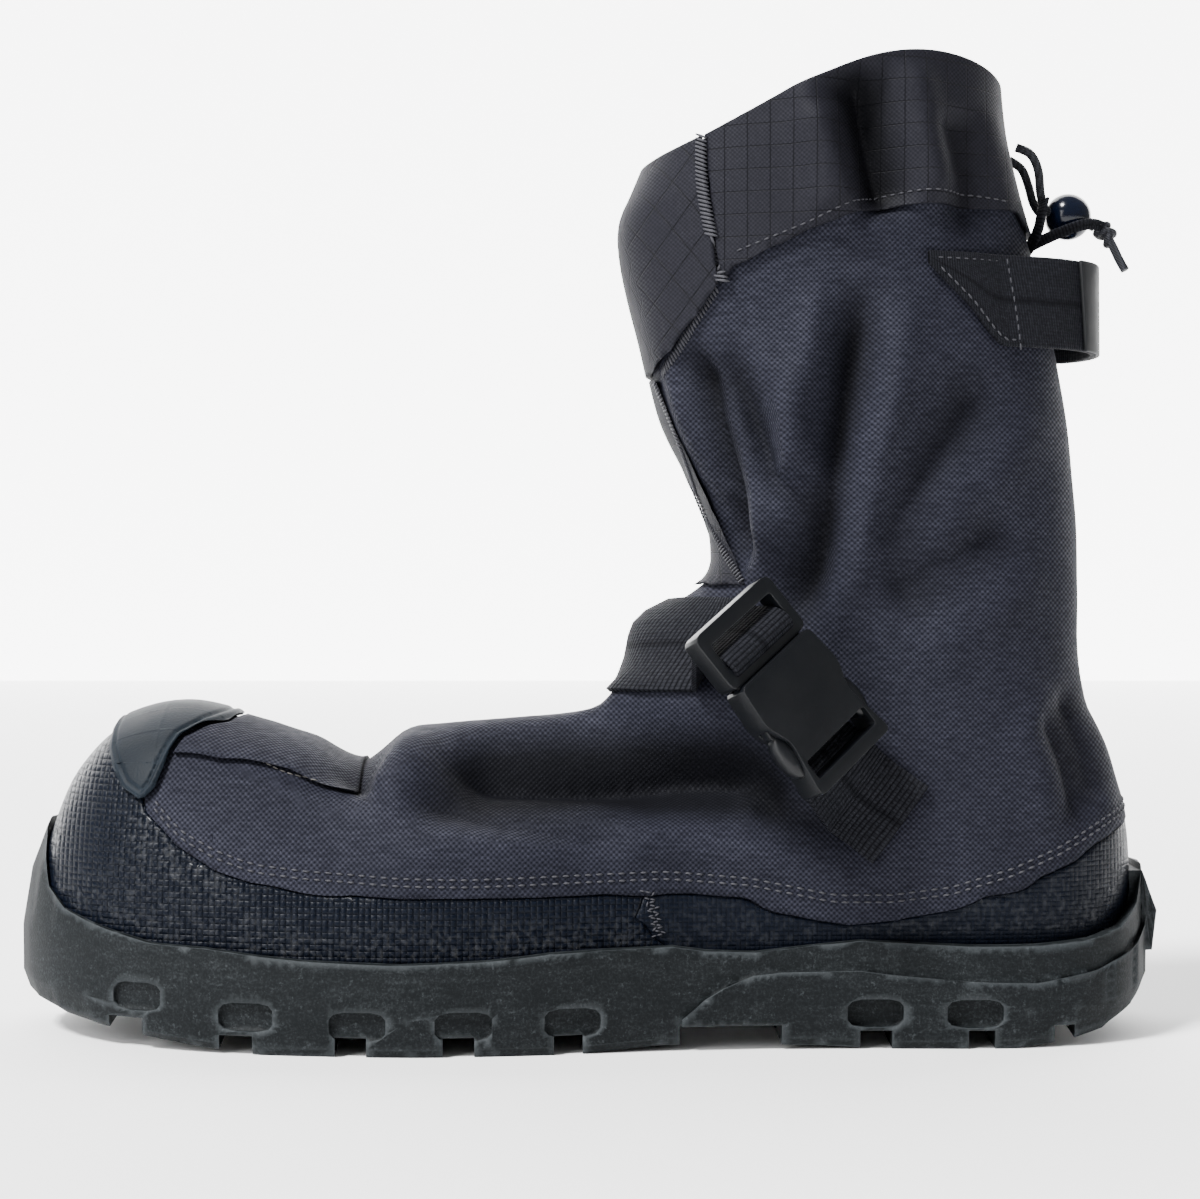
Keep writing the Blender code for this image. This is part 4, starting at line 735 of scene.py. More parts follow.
class Graph:
    """Nodes of one material."""

    def __init__(self, name, colour, roughness, **constants):
        self.material = bpy.data.materials.new("finish_" + name)
        self.material.use_nodes = True
        self.tree = self.material.node_tree
        self.shader = self.tree.nodes["Principled BSDF"]
        self.set("Base Color", colour)
        self.set("Roughness", roughness)
        for key, value in constants.items():
            self.set(key.replace("_", " "), value)

    def feed(self, socket, value):
        if isinstance(value, Wire):
            self.tree.links.new(value.socket, socket)
        elif hasattr(value, "__len__") and socket.type == "RGBA":
            socket.default_value = (*value[:3], 1.0)
        else:
            socket.default_value = value

    def set(self, name, value):
        self.feed(self.shader.inputs[name], value)

    def node(self, kind, settings=None, inputs=None, output=0):
        made = self.tree.nodes.new(kind)
        for key, value in (settings or {}).items():
            if key == "stops":
                ramp = made.color_ramp
                while len(ramp.elements) < len(value):
                    ramp.elements.new(0.5)
                for element, (place, shade) in zip(ramp.elements, value):
                    element.position = place
                    element.color = (shade, shade, shade, 1.0)
            else:
                setattr(made, key, value)
        for key, value in (inputs or {}).items():
            self.feed(made.inputs[key], value)
        return Wire(self, made.outputs[output])

    def math(self, operation, *values):
        return self.node("ShaderNodeMath", {"operation": operation}, dict(enumerate(values)))

    def place(self):
        """Object coordinates as three numbers."""
        spot = self.node("ShaderNodeTexCoord", output=3)
        return [self.node("ShaderNodeSeparateXYZ", inputs={0: spot}, output=axis) for axis in range(3)]

    def facing(self):
        """How far the surface faces along each axis, as sizes."""
        out = self.node("ShaderNodeTexCoord", output=1)
        return [self.node("ShaderNodeSeparateXYZ", inputs={0: out}, output=axis).size()
                for axis in range(3)]

    def spot(self, x, y, z):
        return self.node("ShaderNodeCombineXYZ", inputs={0: x, 1: y, 2: z})

    def noise(self, vector, scale, detail=2.0, rough=0.5):
        return self.node("ShaderNodeTexNoise", inputs={"Vector": vector, "Scale": scale,
                                                       "Detail": detail, "Roughness": rough})

    def grain(self, scale, detail=2.0, rough=0.5):
        """Noise over the object's own coordinates."""
        return self.noise(self.node("ShaderNodeTexCoord", output=3), scale, detail, rough)

    def mark(self, name):
        """Number that the mesh holds under a name."""
        return self.node("ShaderNodeAttribute", {"attribute_name": name}, output=2)

    def ramp(self, value, *stops):
        return self.node("ShaderNodeValToRGB", {"stops": stops}, {0: value})

    def mix(self, factor, first, second):
        return self.node("ShaderNodeMix", {"data_type": "RGBA"}, {0: factor, 6: first, 7: second}, 2)

    def with_painted_fold_shade(self, colour):
        """Colour with painted shade: darkened towards near black where the cloth lies deep in a fold."""
        return self.mix(self.mark("hollow") * 0.88, colour, (0.0006, 0.0007, 0.0014))

    def uv(self, name):
        spot = self.node("ShaderNodeUVMap", {"uv_map": name})
        return [self.node("ShaderNodeSeparateXYZ", inputs={0: spot}, output=axis) for axis in range(2)]

    def bump(self, height, distance, strength=1.0):
        self.set("Normal", self.node("ShaderNodeBump", inputs={"Height": height, "Distance": distance,
                                                               "Strength": strength}))


def weave(u, v, pitch):
    """Height of a plain weave, 0 between the threads to 1 on top of them."""
    turn = math.pi / pitch
    first = (u * turn).sine()
    second = (v * turn).sine()
    return (first * second) * 0.5 + 0.5


def basket(u, v, pitch):
    """Height of a coarse coated weave: rounded cells, alternately warp and weft."""
    turn = math.pi / pitch
    first = (u * turn).sine().size()
    second = (v * turn).sine().size()
    check = ((u * (turn / 2)).sine() * (v * (turn / 2)).sine()).above(0.0)
    warp = first ** 0.5 * (second ** 0.2)
    weft = second ** 0.5 * (first ** 0.2)
    return warp * check + weft * (1 - check)


def by_facing(graph, pattern):
    """Pattern laid on the sides, on the front and back, and on top, each square to its own face."""
    x, y, z = graph.place()
    ahead, aside, upward = graph.facing()
    top = graph.ramp(upward, (0.70, 0.0), (0.78, 1.0))
    end = graph.ramp(ahead - aside, (0.47, 0.0), (0.53, 1.0))
    side = pattern(x, z) * (1 - end) + pattern(y, z) * end
    return side * (1 - top) + pattern(x, y) * top


def nylon_material(name, colour, glint):
    """Plain woven nylon, with painted highlights on the tops of its threads and painted shade in its folds.
    """
    made = sizes()
    graph = Graph(name, colour, 0.72, Specular_IOR_Level=0.08)
    height = by_facing(graph, lambda u, v: weave(u, v, made.weave_pitch))
    x, y, z = graph.place()
    slub = graph.noise(graph.spot(x * 260.0, y * 260.0, z * 1400.0), 1.0, 2.0)
    cloud = graph.grain(38.0, 3.0)
    # Painted highlight: the weave's thread tops lighter in the colour, in random patches.
    light = (height * slub * 1.5 * (cloud * 0.8 + 0.4)).held()
    graph.set("Base Color", graph.with_painted_fold_shade(graph.mix(light, colour, glint)))
    graph.set("Roughness", 0.86 - light * 0.34)
    graph.bump(height, made.weave_pitch * 0.30, 0.75)
    return graph.material


def ripstop_material(name, quilted):
    """Thin cloth of the cuff, with its grid of thicker threads or its quilted diamonds, painted highlights
    on the tops of its threads and painted shade in its folds.
    """
    made, shades = sizes(), colours()
    graph = Graph(name, shades.ripstop, 0.66, Specular_IOR_Level=0.09)
    fine = by_facing(graph, lambda u, v: weave(u, v, made.weave_pitch * 0.8))

    def grid(u, v):
        turn = math.pi / made.ripstop_pitch
        if quilted:
            u, v, turn = u + v * 0.75, u - v * 0.75, turn * 0.62
        return graph.math("MAXIMUM", 1 - ((u * turn).sine().size() * 9.0).held(),
                          1 - ((v * turn).sine().size() * 9.0).held())

    lines = by_facing(graph, grid)
    fleck = graph.grain(900.0, 1.0)
    # Painted highlight: the fine weave's thread tops lighter in the colour.
    light = (fine * 0.55 * (0.5 + fleck)).held()
    cloth = graph.mix(light, shades.ripstop, shades.ripstop_glint)
    graph.set("Base Color", graph.with_painted_fold_shade(graph.mix(lines * 0.75, cloth, (0.0006, 0.0006, 0.0010))))
    graph.set("Roughness", 0.74 - light * 0.25)
    graph.bump(fine * 0.5 - lines, made.weave_pitch * 0.30, 0.7)
    return graph.material


def rand_material(name, pitch, gloss, depth):
    """Coated basket weave with glossy specks, and painted highlights on the tops of its cells."""
    shades = colours()
    graph = Graph(name, shades.rand, 0.42, Coat_Roughness=0.25, Specular_IOR_Level=0.06)
    height = by_facing(graph, lambda u, v: basket(u, v, pitch))
    cloud = graph.grain(620.0)
    speck = graph.grain(1400.0, 1.0)
    # Painted highlight: the cells' tops lighter in the colour, in random patches.
    graph.set("Base Color", graph.mix((height * cloud).held(), shades.rand,
                                      tuple(value * 2.3 for value in shades.rand)))
    graph.set("Roughness", (0.60 - speck * gloss - height * 0.10).held())
    graph.set("Coat Weight", ((cloud - 0.46) * gloss * 5.0).held())
    graph.bump(height * (0.7 + cloud * 0.6), depth, 0.9)
    return graph.material


def rubber_material():
    """Sole rubber, dusty and scuffed on its side; its outward edges are paler, partly from rubbed wear,
    partly from a painted highlight.
    """
    shades = colours()
    graph = Graph("sole_rubber", shades.rubber, 0.66, Specular_IOR_Level=0.09)
    x, y, z = graph.place()
    cloud = graph.grain(55.0, 5.0, 0.65)
    streak = graph.noise(graph.spot(x * 120.0, y * 120.0, z * 620.0), 1.0, 4.0, 0.7)
    speckle = graph.grain(1500.0, 2.0, 0.6)
    scuff = graph.ramp(streak * 0.55 + cloud * 0.45, (0.47, 0.0), (0.66, 1.0))
    grain = graph.ramp(speckle, (0.45, 0.0), (0.72, 1.0))
    fleck = graph.ramp(graph.grain(700.0, 3.0, 0.75), (0.60, 0.0), (0.70, 1.0))
    # Outward edges paler: partly rubbed wear, partly a painted highlight where they catch the light.
    light = (scuff * 0.16 * grain + scuff * 0.05 + graph.mark("wear") * 0.30 + grain * 0.09
             + fleck * 0.24).held()
    graph.set("Base Color", graph.mix(light, shades.rubber, shades.dust_and_edge_highlight))
    graph.set("Roughness", (0.60 + light * 0.25).held())
    graph.bump(speckle * 0.5 + cloud * 0.8, 0.00035, 0.55)
    return graph.material


def patch_material():
    """Smooth moulded rubber of the toe patch, paler in random patches and on its outward edges, these
    partly from rubbed wear, partly from a painted highlight.
    """
    shades = colours()
    graph = Graph("patch_rubber", shades.patch, 0.55, Specular_IOR_Level=0.08)
    cloud = graph.grain(90.0, 4.0, 0.6)
    speckle = graph.grain(1600.0)
    # Outward edges paler: partly rubbed wear, partly a painted highlight.
    light = (graph.ramp(cloud, (0.45, 0.0), (0.80, 1.0)) * 0.35 + speckle * 0.12
             + graph.mark("wear") * 0.3).held()
    graph.set("Base Color", graph.mix(light, shades.patch, tuple(value * 3.2 for value in shades.patch)))
    graph.set("Roughness", 0.50 + light * 0.25)
    graph.bump(speckle, 0.0002, 0.45)
    return graph.material


def webbing_material(name, pitch):
    """Ribbed webbing: ribs across it, read from its own map in metres, with painted highlights on their
    tops.
    """
    made, shades = sizes(), colours()
    graph = Graph(name, shades.webbing, 0.62, Specular_IOR_Level=0.05)
    u, v = graph.uv("band")
    turn = math.pi / pitch
    rib = (u * turn).sine().size() ** 0.6
    strand = (v * (math.pi / 0.0009)).sine().size() ** 0.5
    edge = graph.ramp((v / made.webbing_width).size(), (0.0, 0.35), (0.06, 1.0))
    fleck = graph.noise(graph.spot(u * 900.0, v * 900.0, 0.0), 1.0, 2.0)
    height = rib * (0.55 + strand * 0.45)
    light = (height * fleck * edge * 0.9).held()
    graph.set("Base Color", graph.mix(light, shades.webbing, shades.rib))
    graph.set("Roughness", 0.78 - light * 0.3)
    graph.bump(height, pitch * 0.30, 0.9)
    return graph.material


def plastic_material(name, colour, roughness):
    """Moulded plastic with a faint grain."""
    graph = Graph(name, colour, roughness, Coat_Roughness=0.2, Specular_IOR_Level=0.28)
    graph.set("Roughness", (roughness + (graph.grain(140.0, 3.0) - 0.5) * 0.18).held())
    graph.bump(graph.grain(2600.0, 1.0), 0.00006, 0.4)
    return graph.material


def thread_material(name, colour):
    """Sewing thread."""
    graph = Graph(name, colour, 0.6, Specular_IOR_Level=0.15)
    twist = graph.grain(2400.0, 1.0)
    graph.set("Base Color", graph.mix(twist, tuple(value * 0.5 for value in colour), colour))
    return graph.material


def cord_material():
    """Braided cord, with painted highlights on the tops of its braid."""
    shades = colours()
    graph = Graph("cord", shades.webbing, 0.6, Specular_IOR_Level=0.15)
    x, y, z = graph.place()
    turn = math.pi / 0.0007
    braid = ((x + z) * turn).sine() * ((y - z) * turn).sine() * 0.5 + 0.5
    graph.set("Base Color", graph.mix(braid, shades.webbing, shades.rib))
    graph.bump(braid, 0.0003, 0.8)
    return graph.material


def lining_material():
    """Brushed lining inside the boot."""
    shades = colours()
    graph = Graph("lining", shades.lining, 0.9, Specular_IOR_Level=0.1)
    pile = graph.grain(1100.0, 3.0, 0.7)
    graph.set("Base Color", graph.mix(pile, shades.lining, tuple(value * 2.4 for value in shades.lining)))
    graph.bump(pile, 0.0006, 0.8)
    return graph.material


def material(name):
    """Finish of a name, made once."""
    found = bpy.data.materials.get("finish_" + name)
    if found:
        return found
    made, shades = sizes(), colours()
    makers = {
        "shaft_nylon": lambda: nylon_material("shaft_nylon", shades.nylon, shades.glint),
        "cuff_ripstop": lambda: ripstop_material("cuff_ripstop", False),
        "quilted_ripstop": lambda: ripstop_material("quilted_ripstop", True),
        "toe_weave": lambda: rand_material("toe_weave", made.rand_pitch, 0.26, 0.00050),
        "heel_weave": lambda: rand_material("heel_weave", made.rand_pitch * 0.8, 0.16, 0.00022),
        "sole_rubber": rubber_material,
        "patch_rubber": patch_material,
        "strap_webbing": lambda: webbing_material("strap_webbing", made.rib_pitch),
        "loop_webbing": lambda: webbing_material("loop_webbing", made.rib_pitch * 0.6),
        "keeper_webbing": lambda: webbing_material("keeper_webbing", made.rib_pitch * 0.7),
        "buckle_plastic": lambda: plastic_material("buckle_plastic", shades.plastic, 0.40),
        "gloss_ball": lambda: plastic_material("gloss_ball", shades.ball, 0.14),
        "label": lambda: plastic_material("label", shades.plastic, 0.62),
        "thread": lambda: thread_material("thread", shades.thread),
        "pale_thread": lambda: thread_material("pale_thread", shades.pale_thread),
        "cord": cord_material,
        "lining": lining_material,
    }
    return makers[name]()


FORM_HELD = {}


def boot_form():
    """The boot's form, worked out once."""
    if "form" not in FORM_HELD:
        FORM_HELD["form"] = BootForm()
    return FORM_HELD["form"]


def mark_edge_wear_and_highlight(mesh, floor_degrees=18.0):
    """Attribute that is 1 on outward edges of a piece and 0 on its flats, for rubbed wear and a painted
    highlight there.
    """
    data = bmesh.new()
    data.from_mesh(mesh)
    data.normal_update()
    value = np.zeros(len(data.verts))
    limit = math.radians(floor_degrees)
    for edge in data.edges:
        if len(edge.link_faces) == 2 and edge.calc_face_angle_signed(0.0) > limit:
            strength = min(edge.calc_face_angle_signed(0.0) / math.radians(60.0), 1.0)
            for vertex in edge.verts:
                value[vertex.index] = max(value[vertex.index], strength)
    data.free()
    attribute = mesh.attributes.new("wear", "FLOAT", "POINT")
    attribute.data.foreach_set("value", value.astype(np.float32))


class OVERSHOE_OT_stage(bpy.types.Operator):
    """Place the camera, the floor and the lights."""

    bl_idname = "overshoe.stage"
    bl_label = "Stage"

    def execute(self, context):
        stage = context.scene.overshoe_stage
        eye = bpy.data.cameras.new("camera")
        eye.lens = stage.lens
        eye.sensor_width = 36.0
        eye.sensor_fit = "HORIZONTAL"
        camera = bpy.data.objects.new("camera", eye)
        camera.location = (stage.camera_along, -stage.camera_back, stage.camera_height)
        camera.rotation_euler = (math.radians(90), 0, 0)
        context.scene.collection.objects.link(camera)
        context.scene.camera = camera
        wall_turn = Matrix.Translation(WALL_MIDDLE) @ Matrix.Rotation(math.radians(90), 4, "X")
        for name, glow, turn in (("floor", 0.0, Matrix.Identity(4)), ("wall", stage.wall_glow, wall_turn)):
            data = bmesh.new()
            bmesh.ops.create_grid(data, x_segments=1, y_segments=1, size=STAGE_HALF, matrix=turn)
            mesh = bpy.data.meshes.new(name)
            data.to_mesh(mesh)
            data.free()
            flat = bpy.data.objects.new(name, mesh)
            mesh.materials.append(Graph(name, colours().floor, 0.85, Emission_Color=(1.0, 1.0, 1.0),
                                        Emission_Strength=glow).material)
            context.scene.collection.objects.link(flat)
        spread_angle = math.radians(KEY_SPREAD)
        for name, kind, energy, size_name, size, spot, direction in (
                ("key", "SUN", stage.key_power, "angle", spread_angle, (0, 0, 0), KEY_DIRECTION),
                ("fill", "AREA", stage.fill_power, "size", FILL_SIZE, FILL_PLACE, FILL_DIRECTION)):
            lamp = bpy.data.lights.new(name, kind)
            lamp.energy = energy
            setattr(lamp, size_name, size)
            item = bpy.data.objects.new(name, lamp)
            item.location = spot
            item.rotation_euler = Vector(direction).to_track_quat("-Z", "Y").to_euler()
            context.scene.collection.objects.link(item)
        world = bpy.data.worlds.new("studio")
        world.use_nodes = True
        world.node_tree.nodes["Background"].inputs["Color"].default_value = (1.0, 1.0, 1.0, 1.0)
        world.node_tree.nodes["Background"].inputs["Strength"].default_value = stage.world_strength
        context.scene.world = world
        return {"FINISHED"}


def smooth_route(points, spacing):
    """Points read at even steps from a smooth curve through a route."""
    route = [Vector(point) for point in points]
    fine = []
    for index in range(len(route) - 1):
        before = route[max(index - 1, 0)]
        low = route[index]
        high = route[index + 1]
        after = route[min(index + 2, len(route) - 1)]
        for step in range(12):
            part = step / 12
            fine.append(hermite(low, high, (high - before) / 2, (after - low) / 2, 1.0, part))
    fine.append(route[-1])
    lengths = [0.0]
    for first, second in zip(fine, fine[1:]):
        lengths.append(lengths[-1] + (second - first).length)
    count = max(int(round(lengths[-1] / spacing)), 4)
    result = []
    place = 0
    for index in range(count + 1):
        target = lengths[-1] * index / count
        while place < len(lengths) - 2 and lengths[place + 1] < target:
            place += 1
        span = max(lengths[place + 1] - lengths[place], 1e-9)
        result.append(fine[place].lerp(fine[place + 1], min((target - lengths[place]) / span, 1.0)))
    return result, lengths[-1]


class OVERSHOE_OT_cords(bpy.types.Operator):
    """Make the two strands of the cuff's drawcord."""

    bl_idname = "overshoe.cords"
    bl_label = "Drawcord"

    def execute(self, context):
        made = sizes()
        for name, route, far_end in (("drawcord_near_braid", CORD_NEAR_ROUTE, "bare"),
                                     ("drawcord_far_braid", CORD_FAR_ROUTE, "knot")):
            points, length = smooth_route(route, made.cord_diameter * 0.4)
            curve = bpy.data.curves.new(name, "CURVE")
            curve.dimensions = "3D"
            curve.bevel_depth = made.cord_diameter / 2
            curve.bevel_resolution = 4
            curve.use_fill_caps = True
            spline = curve.splines.new("POLY")
            spline.points.add(len(points) - 1)
            for item, point in zip(spline.points, points):
                item.co = (*point, 1.0)
            curve.materials.append(material("cord"))
            cord = bpy.data.objects.new(name, curve)
            context.scene.collection.objects.link(cord)
            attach(cord, "root")
            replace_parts(cord, name.replace("_braid", ""))
        return {"FINISHED"}


class OVERSHOE_OT_outsole(bpy.types.Operator):
    """Dress the rubber sole."""

    bl_idname = "overshoe.outsole"
    bl_label = "Outsole"

    def execute(self, context):
        form = boot_form()
        data = split_copy("outsole", sizes().rubber_edge)
        piece = place_mesh("sole", data, material("sole_rubber"), 0)
        mesh = piece.data
        places = vertex_array(mesh)
        knots = (1 - np.cos(np.pi * np.arange(OUTLINE_POINTS + 1) / OUTLINE_POINTS)) / 2
        share = places[:, 0] / sizes().sole_length + HEEL_REST_ALONG
        for side, here in (("outer", places[:, 1] < 0), ("inner", places[:, 1] >= 0)):
            smooth = form.outline_half(share, side)
            straight = np.interp(share, knots, form.outline_half(knots, side))
            ratio = np.clip(smooth / np.maximum(straight, 1e-4), 1.0, 1.05)
            places[:, 1] = np.where(here, places[:, 1] * ratio, places[:, 1])
        mesh.vertices.foreach_set("co", places.ravel())
        mesh.update()
        mesh.set_sharp_from_angle(angle=math.radians(30))
        mark_edge_wear_and_highlight(mesh)
        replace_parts(piece, "outsole")
        return {"FINISHED"}


class OVERSHOE_OT_upper(bpy.types.Operator):
    """Dress the nylon upper, its lining and the insole."""

    bl_idname = "overshoe.upper"
    bl_label = "Upper"

    def execute(self, context):
        form = boot_form()
        piece, stand = dress(form, "upper", "upper_nylon", material("shaft_nylon"),
                             sizes().upper_edge)
        piece.data.materials.append(material("lining"))
        inside = stand < -UPPER_WALL * 0.8
        for face in piece.data.polygons:
            if all(inside[corner] for corner in face.vertices):
                face.material_index = 1
        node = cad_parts["insole"]
        node.data.materials.clear()
        node.data.materials.append(material("lining"))
        return {"FINISHED"}


class OVERSHOE_OT_overlays(bpy.types.Operator):
    """Dress the rands, the toe patch, the vamp strip, the front closure and the cuff."""

    bl_idname = "overshoe.overlays"
    bl_label = "Rands and overlays"

    def execute(self, context):
        form = boot_form()
        for node, name, slot, finish in (
                ("toe_rand", "toe_rand_weave", "coated_rand", "toe_weave"),
                ("heel_rand", "heel_rand_weave", "coated_rand", "heel_weave"),
                ("vamp_strip", "vamp_strip_tape", "loop_tape", "shaft_nylon"),
                ("front_placket", "placket_cloth", "shaft_nylon", "cuff_ripstop"),
                ("cuff", "cuff_cloth", "cuff_ripstop", "cuff_ripstop"),
                ("cuff_tab", "cuff_tab_cloth", "cuff_ripstop", "quilted_ripstop")):
            dress(form, node, name, material(finish), folds=0.25 if node == "front_placket" else 1.0)
        patch, stand = dress(form, "toe_patch", "toe_patch_rubber",
                             material("patch_rubber"), 0.0009)
        mould_patch(form, patch, stand)
        mark_edge_wear_and_highlight(patch.data, 30.0)
        return {"FINISHED"}


def mould_patch(form, patch, stand):
    """Press the toe patch's sewing groove and round its rim."""
    made = sizes()
    places = vertex_array(patch.data)
    out = form.read(places)[-1]
    outline = [(share, height * made.instep_height / made.collar_height) for share, height in TOE_PATCH]
    gap, _ = path_distance(places[:, 0], places[:, 2], outline)
    outer = stand > made.webbing_thickness * 0.7
    inset, spread_out, depth = PATCH_GROOVE
    groove = np.exp(-((gap - inset) / spread_out) ** 2) * depth
    rim = np.exp(-(gap / PATCH_RIM) ** 2) * PATCH_RIM
    places -= out * ((groove + rim) * outer)[:, None]
    patch.data.vertices.foreach_set("co", places.ravel())
    patch.data.update()


class DressedSkin:
    """Search tree of dressed pieces, for what lies on them."""

    def __init__(self, *names):
        points = []
        faces = []
        for name in names:
            mesh = bpy.data.objects[name].data
            start = len(points)
            points.extend(vertex.co.copy() for vertex in mesh.vertices)
            faces.extend([start + corner for corner in face.vertices] for face in mesh.polygons)
        self.tree = BVHTree.FromPolygons(points, faces)

    def hit(self, start, direction, reach=0.25):
        """Outermost point along a ray from inside, with the direction out of it, or nothing."""
        place, normal, _, _ = self.tree.ray_cast(start + direction * reach, -direction)
        if place is None:
            return None, None
        if normal.dot(direction) < 0:
            normal = -normal
        return place, normal


def band(name, rows, outs, width, thickness, finish, node=None, lift=0.0):
    """Webbing through rows of points that lie across it, with a map in metres along and across it."""
    count = len(rows)
    lanes = len(rows[0])
    data = bmesh.new()
    bmesh.ops.create_grid(data, x_segments=count - 1, y_segments=lanes - 1, size=1.0)
    lengths = [0.0]
    for first, second in zip(rows, rows[1:]):
        lengths.append(lengths[-1] + (second[lanes // 2] - first[lanes // 2]).length)
    table = {}
    for vertex in data.verts:
        i = round((vertex.co.x + 1) / 2 * (count - 1))
        j = round((vertex.co.y + 1) / 2 * (lanes - 1))
        table[vertex] = (i, j)
    layer = data.loops.layers.uv.new("band")
    for vertex, (i, j) in table.items():
        vertex.co = rows[i][j] + outs[i][j] * lift
        for loop in vertex.link_loops:
            loop[layer].uv = (lengths[i], (j / (lanes - 1) - 0.5) * width)
    middle = data.faces[:][len(data.faces) // 2]
    i, j = table[middle.verts[0]]
    middle.normal_update()
    if middle.normal.dot(outs[i][j]) < 0:
        bmesh.ops.reverse_faces(data, faces=data.faces)
    piece = place_mesh(name, data, material(finish), 0)
    shell = piece.modifiers.new("thickness", "SOLIDIFY")
    shell.thickness = thickness
    shell.offset = 1.0
    shell.use_even_offset = False
    edge = piece.modifiers.new("edge", "BEVEL")
    edge.width = thickness * 0.3
    edge.segments = 2
    edge.limit_method = "ANGLE"
    edge.angle_limit = math.radians(60)
    if node:
        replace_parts(piece, node)
    return piece


def smooth_distances(values, reach):
    """Running mean of a list of numbers, never below the numbers themselves."""
    result = []
    for index in range(len(values)):
        near = values[max(index - reach, 0):index + reach + 1]
        result.append(max(sum(near) / len(near), values[index]))
    return result


class Stitches:
    """Threads laid on a surface, collected into one piece."""

    def __init__(self):
        self.data = bmesh.new()

    def add(self, place, run, out, length, width, slant=0.0):
        across = out.cross(run).normalized()
        run = across.cross(out).normalized()
        turned = Matrix.Rotation(math.radians(slant), 3, out)
        run, across = turned @ run, turned @ across
        frame_matrix = Matrix((run * length / 2, across * width / 2, out * width / 2)).transposed().to_4x4()
        frame_matrix.translation = place + out * width * 0.22
        bmesh.ops.create_icosphere(self.data, subdivisions=1, radius=1.0, matrix=frame_matrix)

    def along(self, points, outs, pitch, length, width, slant=0.0):
        """Stitches at an even pitch along points on a surface."""
        walked = 0.0
        for index in range(len(points) - 1):
            run = points[index + 1] - points[index]
            span = run.length
            while span and walked <= span:
                part = walked / span
                place = points[index].lerp(points[index + 1], part)
                self.add(place, run.normalized(), outs[index].lerp(outs[index + 1], part).normalized(),
                         length, width, slant)
                walked += pitch
            walked -= span

    def finish(self, name, slot, finish):
        bmesh.ops.recalc_face_normals(self.data, faces=self.data.faces)
        place_mesh(name, self.data, material(finish), 0)


def side_line(skin, path, side, spacing=0.0015):
    """Points on the boot over a path in side view, with the directions out of it."""
    points = []
    outs = []
    flat, _ = smooth_route([(x, 0.0, z) for x, z in path], spacing)
    direction = Vector((0, side, 0))
    for spot in flat:
        place, out = skin.hit(Vector((spot.x, 0, spot.z)), direction, 0.15)
        if place is not None and place.y * side > 0.004:
            points.append(place)
            outs.append(out)
    return points, outs


def lay_band(skin, starts, directions, reaches, lift):
    """Rows of points on the boot, out from rows of points inside it, with sudden steps smoothed away."""
    lanes = range(len(starts[0]))
    table = [[(skin.hit(start[lane], direction)[0] - start[lane]).dot(direction)
              for start, direction in zip(starts, directions)] for lane in lanes]
    for reach in reaches:
        table = [smooth_distances(lane, reach) for lane in table]
    rows = [[start[lane] + direction * (table[lane][index] + lift) for lane in lanes]
            for index, (start, direction) in enumerate(zip(starts, directions))]
    return rows, [[direction] * len(lanes) for direction in directions]


def spread(middle, across, half, lanes):
    """Points at even steps across a middle."""
    return [middle + across * (lane / (lanes - 1) * 2 - 1) * half for lane in range(lanes)]


def run_under(rows, outs, last, out):
    """Take a band on from its last row to a row under the buckle."""
    first, hint = rows[-1], outs[-1][0]
    if (last[0] - first[0]).length > (last[0] - first[-1]).length:
        last.reverse()
    for step in range(1, END_STEPS + 1):
        part = step / END_STEPS
        rows.append([start.lerp(end, part) for start, end in zip(first, last)])
        outs.append([hint.lerp(out, part).normalized()] * len(first))


